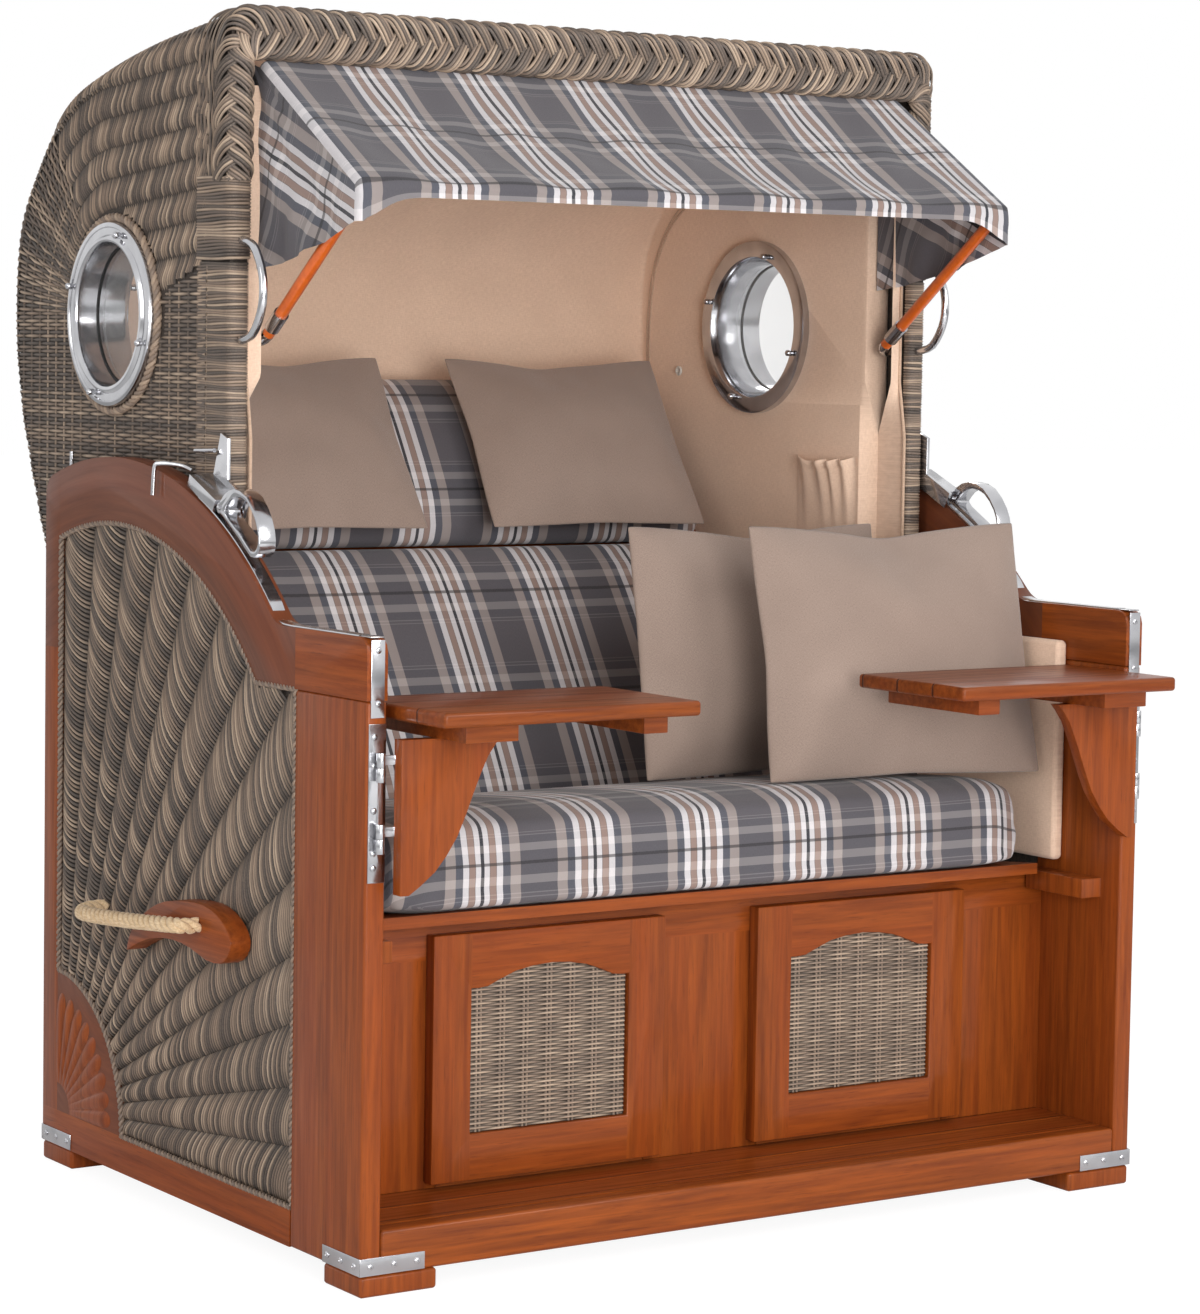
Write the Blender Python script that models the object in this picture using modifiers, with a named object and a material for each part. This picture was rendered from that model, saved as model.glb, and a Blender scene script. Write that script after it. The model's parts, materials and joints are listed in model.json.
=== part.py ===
"""Two-seat hooded beach chair: wooden base with wicker sides, reclining wicker hood, awning,
swinging side tables and pull-out footrests. Metres, +Z up, the sitter looks along -Y."""

import math

import bmesh
import bpy
from mathutils import Matrix, Vector

for old in list(bpy.data.objects):
    bpy.data.objects.remove(old, do_unlink=True)

# Clearances
GAP = 0.0003
RUN = 0.004
CUT_PAST = 0.05

# Base
WIDTH = 1.25
DEPTH = 0.90
PANEL_T = 0.029
FOOT_H = 0.0265
FOOT_W = 0.110
FOOT_D = 0.092
POST_D = 0.178
STILE_D = 0.046
SIDE_RAIL_TOP = 0.077
ARM_DROP = 0.196
ARM_RAIL_H = 0.077
ARM_CORNER_R = 0.018
REAR_CORNER_R = 0.030
ARM_SWEEP_R = 0.050
ARCH_R = 0.623
ARCH_BAND = 0.090
FAN_R = 0.20
STRUT_W = 0.060
STRUT_T = 0.0095
INLAY_RECESS = 0.0035
EASED = 0.003

# Hood pivot, which is also the centre of the side panels' arch
PIVOT_Y = 0.234
PIVOT_Z = 0.383
PIN_R = 0.008
PIN_HEAD_R = 0.014
PIN_HEAD_T = 0.008
PIN_BITE = 0.0095

# Floor and seat box
RAIL_T = 0.030
RAIL_TOP = 0.0815
PLANK_T = 0.015
PLANK_W = 0.064
PLANK_SLOT = 0.005
PLANK_TIE = 0.012
REAR_PANEL_TOP = 0.28
BOX_SETBACK = 0.165
BOX_FRONT_T = 0.022
BOX_SIDE_T = 0.018
BOX_SIDE_CLEAR = 0.048
BOX_LENGTH = 0.36
SEAT_FRONT_Y = -0.33
SEAT_FRONT_Z = 0.445
SEAT_TILT = math.radians(5.3)
SEAT_BOARD_T = 0.015
SEAT_BOARD_L = 0.42
LEDGE_W = 0.035
LEDGE_L = 0.12
LEDGE_H = 0.027
LEDGE_Z = 0.404
LEDGE_SETBACK = 0.04

# Seat cushion
SEAT_PAD_IN = 0.015
SEAT_PAD_T = 0.125
SEAT_PAD_OVER = 0.015
SEAT_CROWN = 0.012
SEAT_DRAW_SHARE = 0.012
END_SHARE = 0.99

# Footrests
REST_W = 0.361
REST_H = 0.322
REST_T = 0.020
REST_SIDE_CLEAR = 0.035
REST_LIFT = 0.0085
REST_STILE = 0.058
REST_RAIL = 0.060
REST_ARCH = 0.024
REST_SHOULDER = 0.250
REST_ARCH_SHARES = (
    (1.0, 0.0),
    (0.80, 0.03),
    (0.45, 0.72),
    (0.0, 1.0),
    (-0.45, 0.72),
    (-0.80, 0.03),
    (-1.0, 0.0),
)
REST_INLAY_T = 0.009
REST_BOX_W = 0.323
REST_BOX_L = 0.345
REST_BOX_H = 0.298
REST_WALL = 0.012

# Hood
HOOD_CLEAR = 0.013
HOOD_FRONT_Y = -0.012
HOOD_DEPTH = 0.677
HOOD_TOP = 1.60
HOOD_LOW = 0.47
HOOD_WALL = 0.014
HOOD_EDGE_R = 0.030
POST_W = 0.032
RIM_D = 0.0617
RIM_H = 0.065
RIM_CORNER_R = 0.030
RIM_ROUND = 0.0145
POST_FOOT_Z = 0.62
LINING_SPACE = 0.064
LINING_T = 0.010
LINING_FOOT_Z = 0.64
LINING_BACK_LOW = 0.495
ARM_BOSS_R = 0.030

# Hood outline from front top to back bottom: share of the depth, share of the height
HOOD_PROFILE_SHARES = (
    (0.0916, 0.993),
    (0.3545, 0.9735),
    (0.579, 0.947),
    (0.752, 0.9115),
    (0.889, 0.836),
    (0.978, 0.761),
    (1.0, 0.6646),
    (0.982, 0.5487),
    (0.904, 0.4204),
    (0.756, 0.2212),
    (0.638, 0.0),
)

# Portholes
PORT_Y = 0.323
PORT_DOWN = 0.40
PORT_BORE_R = 0.098
PORT_WALL = 0.006
PORT_OUT_R = 0.1275
PORT_IN_R = 0.133
PORT_FLANGE_T = 0.012
GLASS_T = 0.005

# Backrest, in a frame that leans back with its origin on the hood pivot
BACK_REACH = 0.134
BACK_LOWER_PROUD = 0.008
BACK_PAD_T = 0.080
BACK_BOARD_T = 0.012
BACK_SIDE_GAP = 0.013
BACK_SPLIT_SHARE = 0.635
BACK_LENGTH = 0.80
BACK_TOP_CLEAR = 0.00567
NECK_W = 0.39
NECK_H = 0.30
NECK_T = 0.085
NECK_PLACE_SHARE = 0.20
NECK_DROP = 0.016
NECK_SINK = 0.0027

# Awning
AWN_PIVOT_Y = 0.015
AWN_PIVOT_DOWN = 0.435
AWN_TUBE_R = 0.0085
AWN_ARM_L = 0.33
AWN_ARM_RISE = math.radians(37.0)
AWN_ARM_IN = 0.033
AWN_BEND_R = 0.022
AWN_CLOTH_IN = 0.018
AWN_CLOTH_T = 0.0025
AWN_HEM = 0.014
AWN_CORNER_DROP = 0.040
AWN_REAR_Y = 0.045
AWN_REAR_DOWN = 0.345
AWN_SAG = 0.012
AWN_DROP = 0.0001

# Hardware on the hood
GRAB_DOWN = 0.368
GRAB_H = 0.130
GRAB_OUT = 0.062
GRAB_R = 0.006
GRAB_SHARES = ((0.55, 0.88), (0.90, 0.45), (1.0, 0.0), (0.90, -0.45), (0.55, -0.88))
LATCH_T = 0.0050
LATCH_FOOT_X = 0.040
LATCH_REACH = 0.014
LATCH_OFF = 0.0045
LATCH_FOOT_H = 0.017
LATCH_PLATE_H = 0.075
LATCH_PLATE_L = 0.036
LATCH_BACK_ANGLE = math.radians(109.5)
LATCH_PIN_ANGLE = math.radians(117.4)
LATCH_PIN_R = 0.003
LATCH_PIN_OFF = 0.0155
GRIP_L = 0.118
GRIP_H = 0.056
GRIP_BAND = 0.0055
GRIP_W = 0.024
GRIP_EYE = 0.008
GRIP_SHARES = (
    (0.0, 0.10),
    (0.10, 0.0),
    (0.55, -0.03),
    (0.88, -0.12),
    (1.0, 0.10),
    (0.97, 0.42),
    (0.80, 0.76),
    (0.50, 0.98),
    (0.22, 0.84),
    (0.06, 0.48),
)

# Side tables
TABLE_L = 0.375
TABLE_W = 0.2237
TABLE_T = 0.0187
TABLE_UNDER_ARM = 0.0823
TABLE_MID_Y = -0.4535
TABLE_END_IN = 0.040
BATTEN_H = 0.021
BATTEN_INSET_Y = 0.016
NEAR_BATTEN_W = 0.075
FAR_BATTEN_W = 0.036
BATTEN_END_INSET = 0.040
BRACKET_T = 0.018
BRACKET_W = 0.143
BRACKET_H = 0.190
BRACKET_CLEAR_X = 0.018
HINGE_LEAF_W = 0.024
HINGE_LEAF_T = 0.0022
HINGE_LEAF_H = 0.194
HINGE_R = 0.0055
HINGE_STAND = 0.0105
HINGE_WEB = 0.003
KNUCKLE_H = 0.018
HINGE_PLACE_SHARES = (0.27, 0.72)
BRACKET_EDGE_SHARES = (
    (1.0, 0.0),
    (0.86, 0.13),
    (0.72, 0.36),
    (0.56, 0.64),
    (0.34, 0.86),
    (0.084, 1.0),
)

# Carrying handles
HANDLE_T = 0.031
HANDLE_L = 0.294
HANDLE_H = 0.091
HANDLE_REAR_Y = 0.128
HANDLE_LOW_Z = 0.348
HANDLE_SHARES = (
    (0.0, 0.0),
    (0.02, 0.19),
    (0.09, 0.46),
    (0.228, 0.725),
    (0.374, 0.89),
    (0.568, 0.978),
    (0.738, 1.0),
    (0.861, 0.923),
    (0.952, 0.769),
    (1.0, 0.571),
    (0.973, 0.363),
    (0.901, 0.231),
    (0.772, 0.22),
    (0.619, 0.324),
    (0.446, 0.363),
    (0.279, 0.308),
    (0.133, 0.181),
)
ROPE_R = 0.0105
ROPE_FRONT_Y = -0.078
ROPE_REAR_Y = 0.258
ROPE_FRONT_Z = 0.411
ROPE_REAR_Z = 0.387
ROPE_OUT = 0.028
ROPE_SAG = 0.002

# Side linings and loose pillows
SIDE_PAD_T = 0.0195
SIDE_PAD_DROP = 0.050
SIDE_PAD_LOW = 0.447
SIDE_PAD_FRONT_Y = -0.33
SIDE_PAD_REAR_Y = -0.016
PILLOW_W = 0.445
PILLOW_H = 0.365
PILLOW_T = 0.140
FRONT_PILLOW_LIFT = 0.0043
BACK_PILLOW_LIFT = 0.0112
FRONT_PILLOW_IN = 0.246
FRONT_PILLOW_Y = -0.245
FRONT_PILLOW_LEAN = math.radians(13.0)
FRONT_PILLOW_TURN = math.radians(-7.0)
BACK_PILLOW_IN = 0.328
BACK_PILLOW_Y = -0.045
BACK_PILLOW_LEAN = math.radians(10.0)

# Worked out
X_OUT = WIDTH / 2
X_IN = X_OUT - PANEL_T
Y_FRONT = -DEPTH / 2
Y_REAR = DEPTH / 2
POST_BACK = Y_FRONT + POST_D
STILE_FRONT = Y_REAR - STILE_D
ARM_H = PIVOT_Z + ARCH_R - ARM_DROP
ARM_RAIL_Z = ARM_H - ARM_RAIL_H
TABLE_TOP = ARM_H - TABLE_UNDER_ARM
HOOD_X = X_IN - HOOD_CLEAR
POST_IN = HOOD_X - POST_W
BOX_FRONT_Y = Y_FRONT + BOX_SETBACK
BOX_X = X_IN - BOX_SIDE_CLEAR
SEAT_PAD_W = (BOX_X - SEAT_PAD_IN) * 2
REST_MID_X = (BOX_X - REST_SIDE_CLEAR) / 2
TABLE_OUT_X = X_OUT - TABLE_END_IN
SIDE_PAD_TOP = ARM_H - SIDE_PAD_DROP
FRONT_PILLOW_X = X_IN - FRONT_PILLOW_IN
BACK_PILLOW_X = X_IN - BACK_PILLOW_IN
LINING_IN = HOOD_X - LINING_SPACE
PORT_Z = HOOD_TOP - PORT_DOWN
BACK_HALF_W = LINING_IN - BACK_SIDE_GAP
NECK_MID_X = WIDTH * NECK_PLACE_SHARE
AWN_PIVOT_Z = HOOD_TOP - AWN_PIVOT_DOWN
AWN_ARM_X = POST_IN - AWN_ARM_IN
AWN_CLOTH_X = POST_IN - AWN_CLOTH_IN
AWN_REAR_Z = HOOD_TOP - AWN_REAR_DOWN
GRAB_Z = HOOD_TOP - GRAB_DOWN
FRAME_SHIFT_Y = -(HOOD_FRONT_Y + HOOD_DEPTH + TABLE_MID_Y - TABLE_W / 2) / 2
SIDES = (("left", -1), ("right", 1))


def collection(name, hidden=False):
    made = bpy.data.collections.new(name)
    bpy.context.scene.collection.children.link(made)
    made.hide_render = hidden
    return made


PARTS = collection("hooded_beach_chair")
CUTTERS = collection("cutters", hidden=True)


def finish(name, colour, roughness, metallic=0.0):
    material = bpy.data.materials.new(name)
    material.use_nodes = True
    shader = material.node_tree.nodes["Principled BSDF"]
    shader.inputs["Base Color"].default_value = (*colour, 1.0)
    shader.inputs["Roughness"].default_value = roughness
    shader.inputs["Metallic"].default_value = metallic
    return material


WOOD = finish("mahogany", (0.36, 0.11, 0.04), 0.25)
WICKER = finish("wicker", (0.22, 0.18, 0.15), 0.55)
CHROME = finish("polished_steel", (0.80, 0.80, 0.82), 0.12, 1.0)
PLAID = finish("plaid_cloth", (0.25, 0.24, 0.27), 0.85)
TAUPE = finish("taupe_cloth", (0.36, 0.29, 0.26), 0.90)
CANVAS = finish("beige_canvas", (0.56, 0.42, 0.31), 0.85)
ROPE = finish("hemp_rope", (0.72, 0.56, 0.38), 0.90)
CLEAR = finish("porthole_glass", (0.90, 0.93, 0.93), 0.05)
COATED = finish("orange_tube", (0.62, 0.20, 0.04), 0.30)


def add(name, data, material, group=PARTS):
    made = bpy.data.objects.new(name, data)
    group.objects.link(made)
    if material:
        data.materials.append(material)
    return made


def smooth(made, angle=math.radians(35)):
    made.data.shade_smooth()
    made.data.set_sharp_from_angle(angle=angle)


def block(name, low, high, material, eased=0.0, group=PARTS):
    """A rectangular board between two corners, with its edges eased by a small bevel."""
    shell = bmesh.new()
    bmesh.ops.create_cube(shell, size=1)
    size = Vector(high) - Vector(low)
    bmesh.ops.scale(shell, vec=size, verts=shell.verts)
    mesh = bpy.data.meshes.new(name)
    shell.to_mesh(mesh)
    shell.free()
    made = add(name, mesh, material, group)
    made.location = (Vector(low) + Vector(high)) / 2
    if eased:
        bevel = made.modifiers.new("eased", "BEVEL")
        bevel.width = min(eased, min(size) / 4)
        bevel.segments = 1
    return made


def arc(centre, radius, start, end, steps):
    """Points along a circle from one angle to another, both included."""
    turns = (start + (end - start) * step / steps for step in range(steps + 1))
    return [(centre[0] + radius * math.cos(t), centre[1] + radius * math.sin(t)) for t in turns]


def through(points, steps=3):
    """A smooth open path through the given points."""
    path = []
    ends = [points[0]] + list(points) + [points[-1]]
    for a, b, c, d in zip(ends, ends[1:], ends[2:], ends[3:]):
        a, b, c, d = (Vector(p) for p in (a, b, c, d))
        for step in range(steps):
            t = step / steps
            curve = b * 2 + (c - a) * t + (a * 2 - b * 5 + c * 4 - d) * t * t
            path.append(tuple((curve + (b * 3 - a - c * 3 + d) * t * t * t) / 2))
    path.append(tuple(points[-1]))
    return path


def beside(path, distance):
    """An open path moved sideways, to the right of its direction."""
    moved = []
    for i, point in enumerate(path):
        before = Vector(path[max(i - 1, 0)])
        after = Vector(path[min(i + 1, len(path) - 1)])
        along = (after - before).normalized()
        moved.append((point[0] + along.y * distance, point[1] - along.x * distance))
    return moved


def plate(name, outline, thickness, material, facing="X", at=0.0, holes=(), group=PARTS):
    """A flat board cut to an outline. Facing X: outline in Y and Z. Facing Y: outline in X and Z."""
    curve = bpy.data.curves.new(name, "CURVE")
    curve.dimensions = "2D"
    curve.fill_mode = "BOTH"
    curve.extrude = thickness / 2
    for points in (outline, *holes):
        spline = curve.splines.new("POLY")
        spline.points.add(len(points) - 1)
        for place, point in zip(spline.points, points):
            place.co = (*point, 0.0, 1.0)
        spline.use_cyclic_u = True
    made = add(name, curve, material, group)
    quarter = math.pi / 2
    if facing == "X":
        made.location = (at, 0, 0)
        made.rotation_euler = (quarter, 0, quarter)
    else:
        made.location = (0, at, 0)
        made.rotation_euler = (quarter, 0, 0)
    return made


def meshed(made):
    """The same shape as a mesh object, which Boolean modifiers can work on."""
    bpy.context.view_layer.update()
    graph = bpy.context.evaluated_depsgraph_get()
    mesh = bpy.data.meshes.new_from_object(made.evaluated_get(graph))
    shell = bmesh.new()
    shell.from_mesh(mesh)
    bmesh.ops.remove_doubles(shell, verts=shell.verts, dist=GAP / 10)
    bmesh.ops.recalc_face_normals(shell, faces=shell.faces)
    shell.to_mesh(mesh)
    shell.free()
    name = made.name
    group = made.users_collection[0]
    place = made.matrix_world.copy()
    bpy.data.objects.remove(made, do_unlink=True)
    new = bpy.data.objects.new(name, mesh)
    new.matrix_world = place
    group.objects.link(new)
    return new


def combine(made, other, operation):
    """A Boolean modifier whose second shape is kept as a hidden cutter."""
    step = made.modifiers.new(operation.lower(), "BOOLEAN")
    step.operation = operation
    step.solver = "EXACT"
    step.object = other
    other.hide_render = True
    other.display_type = "WIRE"


def rod(name, start, end, radius, material, sides=16, group=PARTS):
    """A round bar from one point to another along X, Y or Z."""
    a, b = Vector(start), Vector(end)
    shell = bmesh.new()
    bmesh.ops.create_cone(
        shell,
        cap_ends=True,
        segments=sides,
        radius1=radius,
        radius2=radius,
        depth=(b - a).length,
    )
    turn = (b - a).to_track_quat("Z", "Y").to_matrix()
    bmesh.ops.rotate(shell, matrix=turn, verts=shell.verts)
    mesh = bpy.data.meshes.new(name)
    shell.to_mesh(mesh)
    shell.free()
    made = add(name, mesh, material, group)
    made.location = (a + b) / 2
    smooth(made)
    return made


def tube(name, points, radius, material, sides=2):
    """A round tube along a path of points."""
    curve = bpy.data.curves.new(name, "CURVE")
    curve.dimensions = "3D"
    curve.bevel_depth = radius
    curve.bevel_resolution = sides
    curve.use_fill_caps = True
    spline = curve.splines.new("POLY")
    spline.points.add(len(points) - 1)
    for place, point in zip(spline.points, points):
        place.co = (*point, 1.0)
    spline.use_smooth = True
    return add(name, curve, material)


def soft(name, size, material, shape, cuts=(4, 4, 2)):
    """A cushion: a cage of cells shaped by a function of three shares from -1 to 1, then subdivided."""
    shell = bmesh.new()
    bmesh.ops.create_cube(shell, size=2)
    for axis, count in enumerate(cuts):
        for step in range(1, count):
            place = Vector((0, 0, 0))
            place[axis] = 2 * step / count - 1
            normal = Vector((0, 0, 0))
            normal[axis] = 1
            whole = [*shell.verts, *shell.edges, *shell.faces]
            bmesh.ops.bisect_plane(shell, geom=whole, plane_co=place, plane_no=normal)
    for vert in shell.verts:
        share = shape(*vert.co)
        vert.co = [s * half / 2 for s, half in zip(share, size)]
    mesh = bpy.data.meshes.new(name)
    shell.to_mesh(mesh)
    shell.free()
    made = add(name, mesh, material)
    rounding = made.modifiers.new("rounding", "SUBSURF")
    rounding.levels = 1
    rounding.render_levels = 1
    smooth(made, math.pi)
    return made


def axis_at(name, place):
    """An empty on a joint's axis, which carries the pieces that move with it."""
    empty = bpy.data.objects.new(name, None)
    PARTS.objects.link(empty)
    empty.location = place
    empty.empty_display_size = PIN_HEAD_R
    return empty


def carry(empty, *pieces):
    """Hangs pieces on a joint's empty and leaves them where they are."""
    for piece in pieces:
        piece.parent = empty
        piece.location = Vector(piece.location) - Vector(empty.location)


def span(side, a, b):
    """Two X places of one side, lower first."""
    return min(side * a, side * b), max(side * a, side * b)


def hood_path(steps=2):
    """The hood's outline from its front top to its low back edge."""
    height = HOOD_TOP - HOOD_LOW
    points = [
        (HOOD_FRONT_Y + a * HOOD_DEPTH, HOOD_LOW + b * height) for a, b in HOOD_PROFILE_SHARES
    ]
    points[0] = (HOOD_FRONT_Y + RIM_D + GAP, points[0][1])
    return through(points, steps)


def back_lean():
    """The angle at which the backrest's top comes up to its clearance from the lining."""
    rear = BACK_REACH - BACK_PAD_T - GAP - BACK_BOARD_T
    line = beside(hood_path(), HOOD_WALL + GAP + LINING_T)
    low, high = 0.0, math.pi / 3
    for _ in range(30):
        lean = (low + high) / 2
        y = PIVOT_Y - rear * math.cos(lean) + BACK_LENGTH * math.sin(lean)
        z = PIVOT_Z + rear * math.sin(lean) + BACK_LENGTH * math.cos(lean)
        below = next(i for i, point in enumerate(line) if point[1] <= z)
        (ahead_y, ahead_z), (back_y, back_z) = line[below - 1], line[below]
        wall = ahead_y + (back_y - ahead_y) * (ahead_z - z) / (ahead_z - back_z)
        if y < wall - BACK_TOP_CLEAR:
            low = lean
        else:
            high = lean
    return low


BACK_TILT = back_lean()


# Side panels
def arch_top():
    """The panel's upper edge from its rear corner to its front corner."""
    reach = ARCH_R - REAR_CORNER_R
    rear = Y_REAR - REAR_CORNER_R
    rise = math.sqrt(reach**2 - (rear - PIVOT_Y) ** 2)
    start = math.atan2(rise, rear - PIVOT_Y)
    corner = arc((rear, PIVOT_Z + rise), REAR_CORNER_R, 0.0, start, 3)
    sweep = ARCH_R + ARM_SWEEP_R
    lift = ARM_H + ARM_SWEEP_R - PIVOT_Z
    back = math.sqrt(sweep**2 - lift**2)
    end = math.atan2(lift, -back)
    over = arc((PIVOT_Y, PIVOT_Z), ARCH_R, start, end, 22)
    hollow = arc((PIVOT_Y - back, ARM_H + ARM_SWEEP_R), ARM_SWEEP_R, end - math.pi, -math.pi / 2, 4)
    front = (Y_FRONT + ARM_CORNER_R, ARM_H - ARM_CORNER_R)
    nose = arc(front, ARM_CORNER_R, math.pi / 2, math.pi, 3)
    return corner + over[1:] + hollow[1:] + nose


def opening(inset=0.0):
    """The wicker's opening, clockwise from its front top corner, drawn in by a small inset."""
    inner = ARCH_R - ARCH_BAND - inset
    top = ARM_RAIL_Z - inset
    start = math.pi - math.asin((top - PIVOT_Z) / inner)
    end = math.acos((STILE_FRONT - inset - PIVOT_Y) / inner)
    over = arc((PIVOT_Y, PIVOT_Z), inner, start, end, 16)
    corner = (STILE_FRONT, SIDE_RAIL_TOP)
    fan_start = math.pi / 2 + math.asin(inset / (FAN_R + inset))
    fan_end = math.pi - math.asin(inset / (FAN_R + inset))
    fan = arc(corner, FAN_R + inset, fan_start, fan_end, 8)
    front = POST_BACK + inset
    return [(front, top)] + over + fan + [(front, SIDE_RAIL_TOP + inset)]


def side_panel(side, sign):
    mid = sign * (X_OUT - PANEL_T / 2)
    hole = opening()
    outline = [(POST_BACK + GAP, FOOT_H), (Y_REAR, FOOT_H)] + arch_top()
    outline += [(Y_FRONT, ARM_RAIL_Z + GAP), (POST_BACK, ARM_RAIL_Z + GAP)]
    outline += hole[:-1] + [(POST_BACK + GAP, SIDE_RAIL_TOP)]
    frame = meshed(plate(f"side_frame_{side}", outline, PANEL_T, WOOD, at=mid))
    strut_face = X_IN + GAP
    low_x, high_x = span(sign, strut_face, strut_face + STRUT_T)
    strut = block(
        f"strut_{side}",
        (low_x, PIVOT_Y - STRUT_W / 2, SIDE_RAIL_TOP - PANEL_T / 2),
        (high_x, PIVOT_Y + STRUT_W / 2, PIVOT_Z + ARCH_R - ARCH_BAND + PANEL_T / 2),
        None,
        group=CUTTERS,
    )
    combine(frame, strut, "UNION")
    hole_start = (sign * (X_IN - CUT_PAST), PIVOT_Y, PIVOT_Z)
    hole_end = (sign * (X_OUT + CUT_PAST), PIVOT_Y, PIVOT_Z)
    bore = rod(f"strut_bore_{side}", hole_start, hole_end, PIN_R + GAP, None, group=CUTTERS)
    combine(frame, bore, "DIFFERENCE")
    inlay_in = strut_face + STRUT_T + GAP
    inlay_out = X_OUT - INLAY_RECESS
    middle = sign * (inlay_in + inlay_out) / 2
    plate(f"side_wicker_{side}", opening(GAP), inlay_out - inlay_in, WICKER, at=middle)


def front_post(side, sign):
    low_x, high_x = span(sign, X_IN, X_OUT)
    name = f"front_post_{side}"
    post = block(name, (low_x, Y_FRONT, FOOT_H), (high_x, POST_BACK, ARM_RAIL_Z), WOOD, EASED)
    low_x, high_x = span(sign, X_IN - LEDGE_W, X_IN + EASED * 2)
    front = Y_FRONT + LEDGE_SETBACK
    ledge = block(
        f"ledge_{side}",
        (low_x, front, LEDGE_Z),
        (high_x, front + LEDGE_L, LEDGE_Z + LEDGE_H),
        None,
        group=CUTTERS,
    )
    combine(post, ledge, "UNION")


def feet(side, sign):
    low_x, high_x = span(sign, X_OUT - FOOT_W, X_OUT)
    for place, y in (("front", Y_FRONT), ("rear", Y_REAR - FOOT_D)):
        high = (high_x, y + FOOT_D, FOOT_H - GAP)
        block(f"foot_{place}_{side}", (low_x, y, 0.0), high, WOOD, EASED)


def carrying_handle(side, sign):
    outline = []
    for along, up in HANDLE_SHARES:
        outline.append((HANDLE_REAR_Y - along * HANDLE_L, HANDLE_LOW_Z + up * HANDLE_H))
    outline = through(outline + outline[:1], 2)[:-1]
    at = X_OUT + GAP + HANDLE_T / 2
    plate(f"handle_board_{side}", outline, HANDLE_T, WOOD, at=sign * at)
    face = at + HANDLE_T / 2 + GAP
    far = face + ROPE_OUT
    rear = X_OUT - INLAY_RECESS + GAP
    lift = (ROPE_FRONT_Z + ROPE_REAR_Z) / 2 - ROPE_SAG
    route = (
        (face + ROPE_OUT / 2, ROPE_FRONT_Y, ROPE_FRONT_Z),
        (far, ROPE_FRONT_Y + ROPE_R * 1.5, ROPE_FRONT_Z),
        (far, (ROPE_FRONT_Y + ROPE_REAR_Y) / 2, lift),
        (far - ROPE_OUT / 3, ROPE_REAR_Y - ROPE_R * 4, ROPE_REAR_Z),
        (face, ROPE_REAR_Y - ROPE_R, ROPE_REAR_Z),
        (rear + HANDLE_T / 3, ROPE_REAR_Y, ROPE_REAR_Z),
    )
    route = [(face, ROPE_FRONT_Y, ROPE_FRONT_Z), *through(route, 3), (rear, ROPE_REAR_Y, ROPE_REAR_Z)]
    path = [(sign * x, y, z) for x, y, z in route]
    tube(f"rope_handle_{side}", path, ROPE_R, ROPE)


def side_lining(side, sign):
    low_x, high_x = span(sign, X_IN - GAP - SIDE_PAD_T, X_IN - GAP)
    low = (low_x, SIDE_PAD_FRONT_Y, SIDE_PAD_LOW)
    high = (high_x, SIDE_PAD_REAR_Y, SIDE_PAD_TOP)
    block(f"side_lining_{side}", low, high, CANVAS, SIDE_PAD_T / 4)


def hood_pin(side, sign):
    """The bolt that the hood turns on, from its head inside the arm to the strut."""
    head_in = POST_IN - GAP - PIN_HEAD_T
    end = X_IN + GAP + PIN_BITE
    profile = (
        (0.0, end),
        (PIN_R, end),
        (PIN_R, POST_IN - GAP),
        (PIN_HEAD_R, POST_IN - GAP),
        (PIN_HEAD_R, head_in),
        (0.0, head_in),
    )
    turned(f"hood_pin_{side}", profile, CHROME, (0.0, PIVOT_Y, PIVOT_Z), sign, 16)


def turned(name, profile, material, place, sign, steps, closed=False):
    """A turned piece about an axis along X: profile points are radius and distance outwards."""
    mesh = bpy.data.meshes.new(name)
    count = len(profile)
    edges = [(i, i + 1) for i in range(count - 1)] + ([(count - 1, 0)] if closed else [])
    mesh.from_pydata([(r, 0.0, h) for r, h in profile], edges, [])
    made = add(name, mesh, material)
    screw = made.modifiers.new("turned", "SCREW")
    screw.steps = steps
    screw.render_steps = steps
    screw.use_merge_vertices = True
    screw.merge_threshold = GAP / 10
    made.rotation_euler = (0.0, sign * math.pi / 2, 0.0)
    made.location = place
    return made


for side, sign in SIDES:
    side_panel(side, sign)
    front_post(side, sign)
    feet(side, sign)
    carrying_handle(side, sign)
    side_lining(side, sign)
    hood_pin(side, sign)


# Floor, rails and seat box
def floor_and_rails():
    half = X_IN - GAP
    low = (-half, Y_FRONT, FOOT_H)
    block("front_rail", low, (half, Y_FRONT + RAIL_T, RAIL_TOP), WOOD, EASED)
    low = (-half, Y_REAR - RAIL_T, FOOT_H)
    block("rear_panel", low, (half, Y_REAR, REAR_PANEL_TOP), WOOD, EASED)
    front = Y_FRONT + RAIL_T + GAP
    rear = Y_REAR - RAIL_T - GAP
    deck = block("deck", (-half, front, RAIL_TOP - PLANK_T), (half, rear, RAIL_TOP), WOOD)
    slots = bmesh.new()
    pitch = PLANK_W + PLANK_SLOT
    first = front + PLANK_W
    while first + PLANK_SLOT < rear - PLANK_SLOT:
        for sign in (-1, 1):
            size = (half - PLANK_TIE * 2, PLANK_SLOT, PLANK_T + CUT_PAST)
            place = (sign * half / 2, first + PLANK_SLOT / 2, RAIL_TOP)
            spot = Matrix.Translation(place) @ Matrix.Diagonal((*size, 1.0))
            bmesh.ops.create_cube(slots, size=1, matrix=spot)
        first += pitch
    mesh = bpy.data.meshes.new("deck_slots")
    slots.to_mesh(mesh)
    slots.free()
    combine(deck, add("deck_slots", mesh, None, CUTTERS), "DIFFERENCE")


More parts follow.
